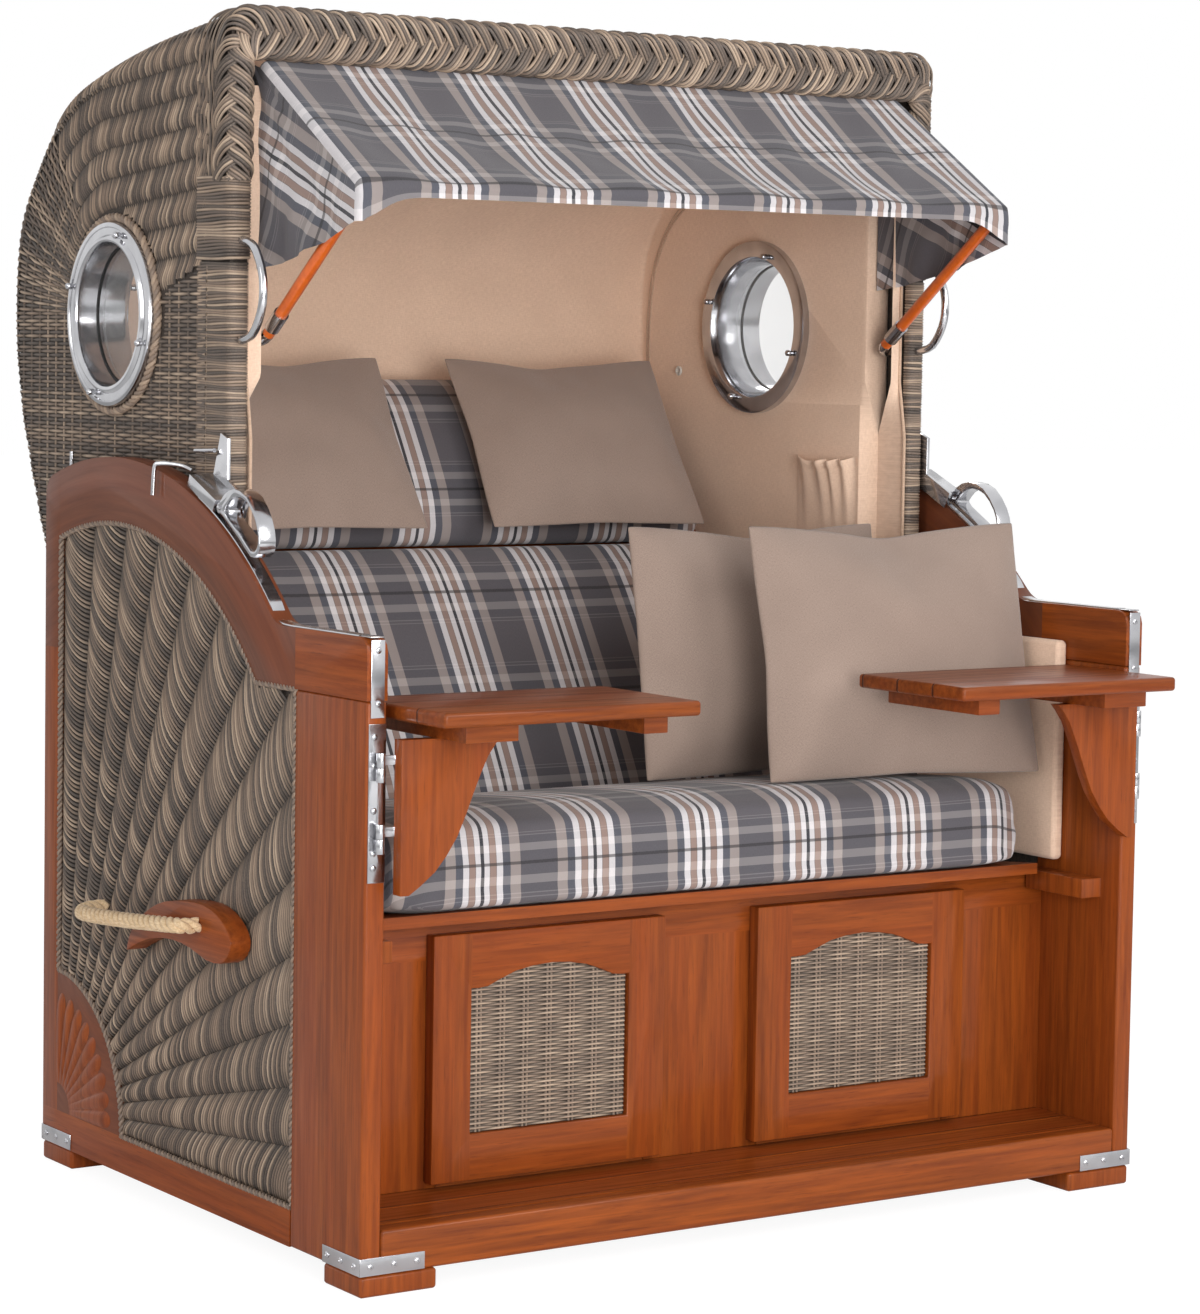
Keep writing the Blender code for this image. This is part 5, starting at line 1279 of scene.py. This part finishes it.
def pillow(name, source, pattern, body, lean, turn, mirror, sag):
    """One pillow in its node's place: leant back, turned, its filling slipped a little down."""
    places, chart, faces = pattern
    places = places * (mirror, 1, 1)
    tall = np.ptp(places[:, 2]) / 2
    places[:, 1] *= 1 - sag * places[:, 2] / tall
    low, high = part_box(source)
    turned = Matrix.Rotation(turn, 3, "Z") @ Matrix.Rotation(-lean, 3, "X")
    places = places @ np.array(turned.transposed()) + np.array((low + high) / 2)
    made = from_points(name, places, [face[::mirror] for face in faces])
    cloth_map(made, chart[:, 0], chart[:, 1])
    apply(made, "SUBSURF", levels=1, render_levels=1)
    finished(made, body, "taupe_cloth", TAUPE, source)


for side, sign in SIDES:
    tilt = math.radians(31.8)
    pillow(f"neck_cushion_{side}", f"neck_pillow_{side}", SMALL, "hood", tilt, 0.0, int(sign), 0.12)
pillow("loose_pillow_front", "pillow_front", LARGE, "base", math.radians(13), math.radians(-7), 1, 0.16)
pillow("loose_pillow_back", "pillow_back", LARGE, "base", math.radians(10), 0.0, -1, 0.10)

# Wall pads: beige canvas over a thin layer of foam, tacked to the inside of each arm beside the
# seat cushion.
for side, sign in SIDES:
    pad = merged(f"wall_pad_{side}", f"side_lining_{side}")
    apply(pad, "BEVEL", width=0.004, segments=3)
    smooth_by_angle(pad, 40)
    co = points_of(pad)
    cloth_map(pad, co[:, 1], co[:, 2])
    finished(pad, "base", "beige_canvas", BEIGE, f"side_lining_{side}")


# Hood lining: beige cotton stretched over the inside of the shell, with a double seam where the
# side pieces meet the roof and back, a gathered pocket on the right and a button beside it.
lining = merged("hood_cloth", "hood_lining")
FLARE_Y, FLARE_DEEP, FLARE_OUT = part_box("hood_lining")[0].y, 0.0118, 0.0265
cuts = [((0, float(y), 0), (0, 1, 0)) for y in FLARE_Y + FLARE_DEEP * np.array([0.5, 1.0])]
cuts += [((0, 0, float(z)), (0, 0, 1)) for z in np.linspace(0.66, 1.12, 14)]
sliced(lining, cuts)
co = points_of(lining)
near = np.clip(1 - (co[:, 1] - FLARE_Y) / FLARE_DEEP, 0, 1) * np.clip((1.12 - co[:, 2]) / 0.08, 0, 1)
near *= np.abs(np.abs(co[:, 0]) - 0.519) < 0.002
co[:, 0] += np.sign(co[:, 0]) * FLARE_OUT * near
set_points(lining, co)
apply(lining, "BEVEL", width=0.003, segments=2, angle_limit=math.radians(40))
smooth_by_angle(lining, 40)
co = points_of(lining)
cloth_map(lining, co[:, 0] + co[:, 1], co[:, 2])
finished(lining, "hood", "beige_canvas", BEIGE, "hood_lining")
THREAD = mottled("beige_seam", (0.50, 0.34, 0.235), (0.66, 0.46, 0.335), 0.8)
SEAM = ((0.598, 1.060), (0.612, 1.110), (0.618, 1.160), (0.616, 1.225), (0.604, 1.290), (0.580, 1.338))
SEAM += ((0.545, 1.376), (0.49, 1.408), (0.40, 1.436), (0.28, 1.456), (0.16, 1.468), (0.062, 1.474))
for side, sign in SIDES:
    path = smooth_path([(sign * 0.5192, y + BASE_MID_Y, z) for y, z in SEAM], 8)
    shift = np.gradient(path, axis=0)
    shift = np.stack([0 * path[:, 0], -shift[:, 2], shift[:, 1]], 1)
    shift /= np.linalg.norm(shift, axis=1)[:, None]
    seam = tubes(f"lining_seam_{side}", [path - shift * 0.0030, path + shift * 0.0030], 0.0022, 8)
    co = points_of(seam)
    cloth_map(seam, co[:, 1], co[:, 2])
    finished(seam, "hood", "beige_canvas", THREAD)


# Lining edge: the lining is drawn outwards over the hood's posts in front and ends there in a
# piped seam. Above the awning's bolts it keeps clear of the arms that fold back beside it.
for side, sign in SIDES:
    rise = np.linspace(0.625, 1.500, 120)
    ripple = 0.0012 * np.sin(rise * 37) * np.sin(rise * 11)
    columns = []
    low_part = np.clip((1.12 - rise) / 0.08, 0, 1)
    inner = 0.5285 + 0.0170 * low_part
    inner_y = (0.0010 + BASE_MID_Y) * (1 - low_part) + 0.0015 * low_part
    outer_y = BASE_MID_Y + 0.0070 - 0.0150 * low_part
    for share in np.linspace(0, 1, 6):
        x = sign * (inner + (0.5505 - inner) * share)
        y = inner_y + (outer_y - inner_y) * share + ripple * math.sin(math.pi * share) * (1 - low_part)
        columns.append(np.stack([x, y, rise], 1))
    cells = np.array([(a, a + 1) for a in range(119)])
    strips = [np.concatenate([cells + 120 * k, cells[:, ::-1] + 120 * (k + 1)], 1) for k in range(5)]
    faces = np.concatenate(strips)[:, :: int(-sign)]
    flange = from_points(f"lining_flange_{side}", np.concatenate(columns), faces)
    co = points_of(flange)
    cloth_map(flange, co[:, 0], co[:, 2])
    finished(flange, "hood", "beige_canvas", BEIGE)
    piping = np.stack([np.full(120, sign * 0.5482), outer_y - 0.0015 + 0.0010 * low_part, rise], 1)
    piping = tubes(f"lining_piping_{side}", [piping], 0.0026, 8)
    co = points_of(piping)
    cloth_map(piping, co[:, 1], co[:, 2])
    finished(piping, "hood", "beige_canvas", THREAD)


def gathered_pocket():
    """A patch sewn on at three sides, its top drawn in by elastic over soft upright folds."""
    columns, rows = 72, 30
    points, chart, faces = [], [], []
    for row in range(rows + 1):
        t = row / rows
        for column in range(columns + 1):
            s = column / columns
            edge = min(1.0, s * 9, (1 - s) * 9)
            fold = math.sin(s * 29 + 1.3 * math.sin(s * 9)) * (0.25 + 0.75 * t**2)
            belly = math.sin(math.pi * s) ** 0.7 * (0.006 + 0.014 * t**1.5)
            depth = (belly + 0.0044 * fold * (0.4 + t)) * edge
            if t > 0.93:
                depth += 0.0018
            y = 0.2150 - 0.153 * s - 0.006 * t * (0.5 - s)
            z = 0.890 + 0.116 * t + 0.0020 * math.sin(s * 34) * t + 0.006 * math.sin(math.pi * s) * -t
            points.append((0.5187 - max(depth, 0.0002), y + BASE_MID_Y, z))
            chart.append((s * 0.20, t * 0.125))
    for row in range(rows):
        for column in range(columns):
            a = row * (columns + 1) + column
            faces.append((a, a + columns + 1, a + columns + 2, a + 1))
    chart = np.array(chart)
    patch = from_points("lining_pocket", points, faces)
    cloth_map(patch, chart[:, 0], chart[:, 1])
    return patch


pocket = gathered_pocket()
finished(pocket, "hood", "beige_canvas", BEIGE)


# Awning: plaid cotton from under the rim over a bent steel bow, with a hem and a three-cornered
# gusset at each side. The bow turns on two bolts in the hood's posts and folds up against it.
AWN_PIVOT_Y, AWN_PIVOT_Z, AWN_ARM, AWN_RISE = 0.015 + BASE_MID_Y, 1.165, 0.33, math.radians(37.0)
BAR_Y = AWN_PIVOT_Y - AWN_ARM * math.cos(AWN_RISE)
BAR_Z = AWN_PIVOT_Z + AWN_ARM * math.sin(AWN_RISE)
AWN_X, AWN_TOP_Y, AWN_TOP_Z = 0.533, -0.0035 + BASE_MID_Y, 1.5335
AWN_REAR_Y, AWN_REAR_Z = 0.045 + BASE_MID_Y, 1.255
FOLD_R, OVER_BAR = 0.012, 0.0118


def awning_line():
    """Side view of the sheet and its outward directions, from the rim to the hem."""
    slope = np.array([BAR_Y - AWN_TOP_Y, BAR_Z - AWN_TOP_Z])
    slope /= np.linalg.norm(slope)
    away = np.array([slope[1], -slope[0]])
    top, bar = np.array([AWN_TOP_Y, AWN_TOP_Z]), np.array([BAR_Y, BAR_Z])
    line = [top + (bar + away * OVER_BAR - top) * t for t in np.linspace(0, 1, 25)]
    normals = [away] * 25
    first = math.atan2(away[1], away[0])
    for turn in np.linspace(first, math.radians(186), 9)[1:]:
        facing = np.array([math.cos(turn), math.sin(turn)])
        line.append(bar + facing * OVER_BAR)
        normals.append(facing)
    for drop in (0.003, 0.006, 0.009, 0.012):
        line.append(line[32] + np.array([0.0010, -drop]))
        normals.append(np.array([-1.0, 0.05]))
    return np.array(line), np.array(normals)


def awning_sheet():
    line, normals = awning_line()
    count = len(line)
    run = np.concatenate([[0], np.cumsum(np.linalg.norm(np.diff(line, axis=0), axis=1))])
    share = np.clip(run / run[24], 0, 1)
    fall = np.clip((run - run[24]) / (run[-1] - run[24]), 0, 1)
    points, chart, faces = [], [], []
    flat = np.linspace(-(AWN_X - FOLD_R), AWN_X - FOLD_R, 97)
    turns = np.radians([22.5, 45.0, 67.5, 90.0])
    for row in range(count):
        ripple = 0.0030 * np.sin(flat * 33 + 1.7 * math.sin(share[row] * 4)) * share[row]
        ripple += 0.0018 * np.sin(flat * 71 + share[row] * 9) * math.sin(math.pi * share[row]) ** 0.5
        sag = -0.012 * math.sin(math.pi * share[row]) * (1 - (flat / AWN_X) ** 4)
        near = 1 - np.exp(-(((AWN_X - np.abs(flat)) / 0.05) ** 2))
        level = (ripple * (1 - fall[row] * 0.7) + sag) * near
        corner = -0.030 * fall[row] * np.exp(-(((AWN_X - np.abs(flat)) / 0.045) ** 2))
        middle = [(x, *(line[row] + normals[row] * h + (0, c))) for x, h, c in zip(flat, level, corner)]
        over = []
        for turn in turns:
            x = AWN_X - FOLD_R + FOLD_R * math.sin(turn)
            place = line[row] - normals[row] * FOLD_R * (1 - math.cos(turn))
            over.append((x, place[0], place[1] - 0.032 * fall[row]))
        left = [(-x, y, z) for x, y, z in over[::-1]]
        points += left + middle + over
        chart += [(x, -run[row]) for x, _, _ in left + middle + over]
    wide = len(points) // count
    for row in range(count - 1):
        for column in range(wide - 1):
            a = row * wide + column
            faces.append((a, a + 1, a + wide + 1, a + wide))
    steps = 18
    tilt = math.radians(22)
    for side in (-1, 1):
        start = len(points)
        for row in range(count):
            fold = points[row * wide + (wide - 1 if side > 0 else 0)]
            rear_z = AWN_TOP_Z + (AWN_REAR_Z - AWN_TOP_Z) * row / (count - 1)
            down = (row / (count - 1)) ** 2
            for step in range(steps + 1):
                w = step / steps
                y = fold[1] + (AWN_REAR_Y - fold[1]) * w
                z = fold[2] + (rear_z - fold[2]) * w - 0.010 * down * math.sin(math.pi * w)
                crumple = 0.0045 * math.sin(w * 15 + row * 0.22) + 0.0025 * math.sin(w * 31 - row * 0.3)
                x = side * (abs(fold[0]) + crumple * math.sin(math.pi * w) * (0.3 + down))
                points.append((x, y, z))
                upward = z * math.cos(tilt) - y * math.sin(tilt) + 0.02
                chart.append((upward, y * math.cos(tilt) + z * math.sin(tilt)))
        for row in range(count - 1):
            for step in range(steps):
                a = start + row * (steps + 1) + step
                corners = (a, a + 1, a + steps + 2, a + steps + 1)
                faces.append(corners if side > 0 else corners[::-1])
    chart = np.array(chart)
    sheet = from_points("awning_canopy", points, faces)
    cloth_map(sheet, chart[:, 0], chart[:, 1])
    clear_selection()
    sheet.select_set(True)
    bpy.context.view_layer.objects.active = sheet
    bpy.ops.object.mode_set(mode="EDIT")
    bpy.ops.mesh.select_all(action="SELECT")
    bpy.ops.mesh.remove_doubles(threshold=0.0001)
    bpy.ops.mesh.normals_make_consistent(inside=False)
    bpy.ops.object.mode_set(mode="OBJECT")
    return sheet


def straight(start, end, steps):
    """Evenly spaced points from one place to another."""
    start, end = np.array(start, float), np.array(end, float)
    return start + (end - start) * np.linspace(0, 1, steps)[:, None]


canopy = awning_sheet()
finished(canopy, "awning", "plaid_cloth", PLAID, "awning_cloth")
canopy.parent = None
del canopy["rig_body"]
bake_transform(canopy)
orange = Finish("orange_tube", 0.32, Coat_Weight=0.4, Coat_Roughness=0.1)
chips = orange.noise(orange.coords(), 90.0, 3.0)
orange.set(Base_Color=chips.between(0.3, 0.7).mix((0.56, 0.095, 0.008), (0.70, 0.135, 0.012)))
bow = merged("awning_bow", "awning_frame")
smooth_by_angle(bow, 50)
finished(bow, "awning", "orange_tube", orange, "awning_frame")
bow.data.materials.append(STEEL.material)
for face in bow.data.polygons:
    away = math.hypot(face.center.y - AWN_PIVOT_Y, face.center.z - AWN_PIVOT_Z)
    face.material_index = 1 if away < 0.045 else 0
for side, sign in SIDES:
    reach = np.array([0.030, 0.062])
    sleeve_y = AWN_PIVOT_Y - reach * math.cos(AWN_RISE)
    sleeve_z = AWN_PIVOT_Z + reach * math.sin(AWN_RISE)
    path = np.stack([np.full(2, sign * 0.518), sleeve_y, sleeve_z], 1)
    sleeve = tubes(f"awning_sleeve_{side}", [straight(*path, 4)], 0.0105, 24)
    smooth_by_angle(sleeve, 40)
    finished(sleeve, "awning", "polished_steel", STEEL)


# Portholes: turned and polished rings from both faces of the wall, clamped over a pane with a
# black rubber seal by four domed pins on each flange.
def spun(name, section, side_sign, body, slot, finish, replaced=()):
    """Turns a closed section of places across the chair and radii round the porthole's middle."""
    points = [(side_sign * x, HOLE_Y + r, HOLE_Z) for x, r in section]
    mesh = bpy.data.meshes.new(name)
    count = len(points)
    mesh.from_pydata(points, [(k, (k + 1) % count) for k in range(count)], [])
    ring = bpy.data.objects.new(name, mesh)
    bpy.context.scene.collection.objects.link(ring)
    clear_selection()
    ring.select_set(True)
    bpy.context.view_layer.objects.active = ring
    bpy.ops.object.mode_set(mode="EDIT")
    bpy.ops.mesh.select_all(action="SELECT")
    centre = (0.0, HOLE_Y, HOLE_Z)
    bpy.ops.mesh.spin(steps=96, angle=2 * math.pi, center=centre, axis=(1.0, 0.0, 0.0))
    bpy.ops.mesh.select_all(action="SELECT")
    bpy.ops.mesh.remove_doubles(threshold=0.00005)
    bpy.ops.mesh.normals_make_consistent(inside=False)
    bpy.ops.object.mode_set(mode="OBJECT")
    smooth_by_angle(ring, 32)
    return finished(ring, body, slot, finish, *replaced)


RING = (
    (0.5835, 0.1275), (0.5920, 0.1275), (0.5945, 0.1262), (0.5950, 0.1240), (0.5950, 0.1205),
    (0.5935, 0.1192), (0.5935, 0.1095), (0.5950, 0.1080), (0.5968, 0.1062), (0.5972, 0.1030),
    (0.5965, 0.1000), (0.5940, 0.0984), (0.5900, 0.0980), (0.5500, 0.0980), (0.5200, 0.1035),
    (0.5105, 0.1060), (0.5075, 0.1085), (0.5070, 0.1110), (0.5070, 0.1300), (0.5085, 0.1325),
    (0.5110, 0.1330), (0.5188, 0.1330), (0.5188, 0.1060), (0.5835, 0.1040),
)
SEAL = ((0.5590, 0.0988), (0.5590, 0.0966), (0.5625, 0.0966), (0.5625, 0.0988))
PIN = (
    (0.0, 0.0030), (0.0022, 0.0030), (0.0024, 0.0044), (0.0060, 0.0046), (0.0064, 0.0036),
    (0.0074, 0.0036), (0.0078, 0.0048), (0.0110, 0.0044), (0.0124, 0.0026), (0.0128, 0.0004),
)
rubber = Finish("black_rubber", 0.6)
grain = rubber.noise(rubber.coords(), 300.0, 2.0)
rubber.set(Base_Color=grain.between(0.3, 0.7).mix((0.008, 0.008, 0.008), (0.020, 0.020, 0.020)))
pane = Finish("porthole_glass", 0.03, Alpha=0.10)
haze = pane.noise(pane.coords(), 40.0, 3.0)
pane.set(Base_Color=haze.between(0.3, 0.7).mix((0.80, 0.84, 0.85), (0.90, 0.93, 0.93)))
for side, sign in SIDES:
    spun(f"ring_{side}", RING, sign, "hood", "polished_steel", STEEL, (f"porthole_{side}",))
    spun(f"seal_{side}", SEAL, sign, "hood", "polished_steel", rubber)
    turns = [math.radians(20 + 90 * k) for k in range(4)]
    spots = [(HOLE_Y + 0.1145 * math.cos(t), HOLE_Z + 0.1145 * math.sin(t)) for t in turns]
    outer = [(sign * 0.5934, y, z) for y, z in spots]
    inner = [(sign * 0.5071, y, z) for y, z in spots]
    studs(f"ring_pins_{side}", PIN, outer, (sign, 0, 0), "hood")
    studs(f"inner_pins_{side}", PIN, inner, (-sign, 0, 0), "hood")
    painted(pane, f"porthole_glass_{side}")


# Side tables: three boards on two battens, held by a curved bracket that swings out on a long
# steel hinge screwed to the front of the arm.
def steel_parts(piece, wood, metal):
    """Gives the knuckles and straps in a wooden bracket's mesh the steel of its hinge."""
    piece.data.materials.clear()
    piece.data.materials.append(wood.material)
    piece.data.materials.append(metal.material)
    for face in piece.data.polygons:
        c = face.center
        face.material_index = 1 if abs(c.x) > 0.5965 or (abs(c.x) > 0.585 and c.y > -0.5030) else 0


for side, sign in SIDES:
    body = f"table_{side}"
    eased(f"shelf_{side}", body, "mahogany", WOOD_TABLE, f"table_top_{side}", width=0.003)
    bracket = eased(f"bracket_{side}", body, "mahogany", WOOD_Z, f"table_bracket_{side}", width=0.0012)
    steel_parts(bracket, WOOD_Z, STEEL)


# Fittings: corner plates round the foot of the base, the strips that guard the arms' front
# edges, and the domed cross-head screws that hold every plate and hinge leaf.
SCREW = (
    (-0.001, 0.0042), (0.0004, 0.0042), (0.0013, 0.0032), (0.0017, 0.0018), (0.0008, 0.0014),
    (0.0008, 0.0002),
)
for side, sign in SIDES:
    x_in, x_out = sign * 0.6010, sign * 0.6200
    front_y = -0.450 + BASE_MID_Y
    guard = [((x_in, front_y - 0.0018, 0.7125), (x_out, front_y + 0.0002, 0.8075))]
    guard.append(((x_in, front_y + 0.0010, 0.8098), (x_out, front_y + 0.0250, 0.8114)))
    plates(f"arm_guard_{side}", guard, "base")
    heads = [(sign * 0.6105, front_y - 0.0018, z) for z in (0.7950, 0.7300)]
    studs(f"guard_screws_{side}", SCREW, heads, (0, -1, 0), "base")
    heads = [(sign * 0.6155, front_y - 0.0030, z) for z in (0.690, 0.655, 0.600, 0.548, 0.530)]
    studs(f"hinge_screws_{side}", SCREW, heads, (0, -1, 0), "base")
    corner, heads_y, heads_x = [], [], []
    for front in (-1, 1):
        end_y = front * 0.450 + BASE_MID_Y
        edge_x = sign * 0.625
        y_face = sorted((end_y, end_y + front * 0.0016))
        corner.append(((sign * 0.534, y_face[0], 0.0275), (edge_x + sign * 0.0014, y_face[1], 0.0495)))
        near, far = sorted((end_y - front * 0.092, end_y))
        corner.append(((edge_x, near, 0.0275), (edge_x + sign * 0.0016, far, 0.0495)))
        heads_y += [((sign * x, end_y + front * 0.0016, 0.0385), front) for x in (0.545, 0.578, 0.612)]
        heads_x += [(edge_x + sign * 0.0016, end_y - front * y, 0.0385) for y in (0.014, 0.046, 0.080)]
    plates(f"corner_plates_{side}", corner, "base")
    studs(f"corner_screws_{side}", SCREW, heads_x, (sign, 0, 0), "base")
    for front, word in ((-1, "front"), (1, "rear")):
        heads = [head for head, end in heads_y if end == front]
        studs(f"corner_screws_{word}_{side}", SCREW, heads, (0, front, 0), "base")


BUTTON = (
    (0.0, 0.0075), (0.0020, 0.0078), (0.0032, 0.0066), (0.0030, 0.0040), (0.0022, 0.0030),
    (0.0022, 0.0003),
)
shell_white = Finish("white_button", 0.35)
cloud = shell_white.noise(shell_white.coords(), 200.0, 2.0)
shell_white.set(Base_Color=cloud.between(0.3, 0.7).mix((0.62, 0.60, 0.55), (0.78, 0.76, 0.71)))
spots = [(sign * 0.5188, 0.530 + BASE_MID_Y, 1.130) for sign in (-1, 1)]
studs("lining_button_right", BUTTON, spots[1:], (-1, 0, 0), "hood", shell_white, "beige_canvas", 20)
studs("lining_button_left", BUTTON, spots[:1], (1, 0, 0), "hood", shell_white, "beige_canvas", 20)


# Arch guards: a thin strip of bright steel let into the top of each arch and carried on along
# the arm, where the hood's latch slides over the wood.
GUARD_R = 0.6236
for side, sign in SIDES:
    turn = np.radians(np.linspace(112, 133.5, 22))
    over = [(PIVOT_Y + GUARD_R * math.cos(t), PIVOT_Z + GUARD_R * math.sin(t)) for t in turn]
    over += [(over[-1][0] - 0.014, 0.8185), (over[-1][0] - 0.030, 0.8125), (over[-1][0] - 0.050, 0.8108)]
    over += [(y, 0.8106) for y in np.linspace(over[-1][0] - 0.02, -0.470, 9)]
    line = smooth_path([(0.0, y, z) for y, z in over], 3)
    _, beside, above = frames_along(line)
    above = above if above[10, 2] > 0 else -above
    points, faces = [], []
    for spot, up in zip(line, above):
        for x, lift in ((0.6025, -0.0004), (0.6025, 0.0012), (0.6200, 0.0012), (0.6200, -0.0004)):
            points.append(spot + up * lift + np.array([sign * x, 0, 0]))
    for start in range(0, 4 * (len(line) - 1), 4):
        for k, after in ((0, 1), (1, 2), (2, 3), (3, 0)):
            faces.append((start + k, start + after, start + 4 + after, start + 4 + k))
    faces += [(3, 2, 1, 0), tuple(4 * (len(line) - 1) + k for k in range(4))]
    strip = from_points(f"arch_guard_{side}", points, faces, smooth=False)
    clear_selection()
    strip.select_set(True)
    bpy.context.view_layer.objects.active = strip
    bpy.ops.object.mode_set(mode="EDIT")
    bpy.ops.mesh.select_all(action="SELECT")
    bpy.ops.mesh.normals_make_consistent(inside=False)
    bpy.ops.object.mode_set(mode="OBJECT")
    smooth_by_angle(strip, 30)
    finished(strip, "base", "polished_steel", STEEL)


# Latch rods: a bent rod that locks the grip, a short pin beside it, and a stop at the rear.
for side, sign in SIDES:
    bent = [(0.5990, 0.058, 0.994), (0.6060, 0.072, 0.9995), (0.6180, 0.086, 1.0020), (0.6280, 0.096, 1.0020)]
    bent += [(0.6325, 0.101, 0.9970), (0.6335, 0.104, 0.9600)]
    path = smooth_path([(sign * x, y + BASE_MID_Y, z) for x, y, z in bent], 4)
    ends = [(sign * 0.5925, y + BASE_MID_Y, z) for y, z in ((0.008, 1.022), (0.062, 1.020))]
    pin = straight(*ends, len(path))
    rods = tubes(f"latch_rods_{side}", [path, pin], 0.0030, 14)
    smooth_by_angle(rods, 40)
    finished(rods, "hood", "polished_steel", STEEL)
    stop = np.array([(sign * 0.5895, 0.442 + BASE_MID_Y, z) for z in (0.975, 0.985, 0.995, 1.007)])
    stop_rod = tubes(f"rear_stop_{side}", [stop], 0.0032, 14)
    smooth_by_angle(stop_rod, 40)
    finished(stop_rod, "hood", "polished_steel", STEEL)


# Carved fan: a quarter round of mahogany in the bottom rear corner of each side panel, carved
# with nine rounded petals that spread from the corner.
for side, sign in SIDES:
    petals, rows = 9, 14
    points, faces = [], []
    turns = np.linspace(0.5, 89.5, petals * 8 + 1)
    for number, turn in enumerate(turns):
        phase = (number / 8) % 1.0
        swell = math.sin(math.pi * phase) ** 0.6 if phase else 0.0
        outer = 0.150 + 0.020 * swell
        for row in range(rows + 1):
            t = row / rows
            radius = 0.040 + (outer - 0.040) * t
            edge = min(1.0, t * 5, (1 - t) * 6)
            height = 0.0002 + (0.0050 * swell * t**0.5 + 0.0004) * edge**0.6
            angle = math.radians(90 + turn)
            y, z = FAN_Y + radius * math.cos(angle), FAN_Z + radius * math.sin(angle)
            points.append((sign * (0.6250 + height), y, z))
    for number in range(len(turns) - 1):
        for row in range(rows):
            a = number * (rows + 1) + row
            corners = (a, a + 1, a + rows + 2, a + rows + 1)
            faces.append(corners if sign < 0 else corners[::-1])
    fan = from_points(f"carved_fan_{side}", points, faces)
    finished(fan, "base", "mahogany", WOOD_Z)
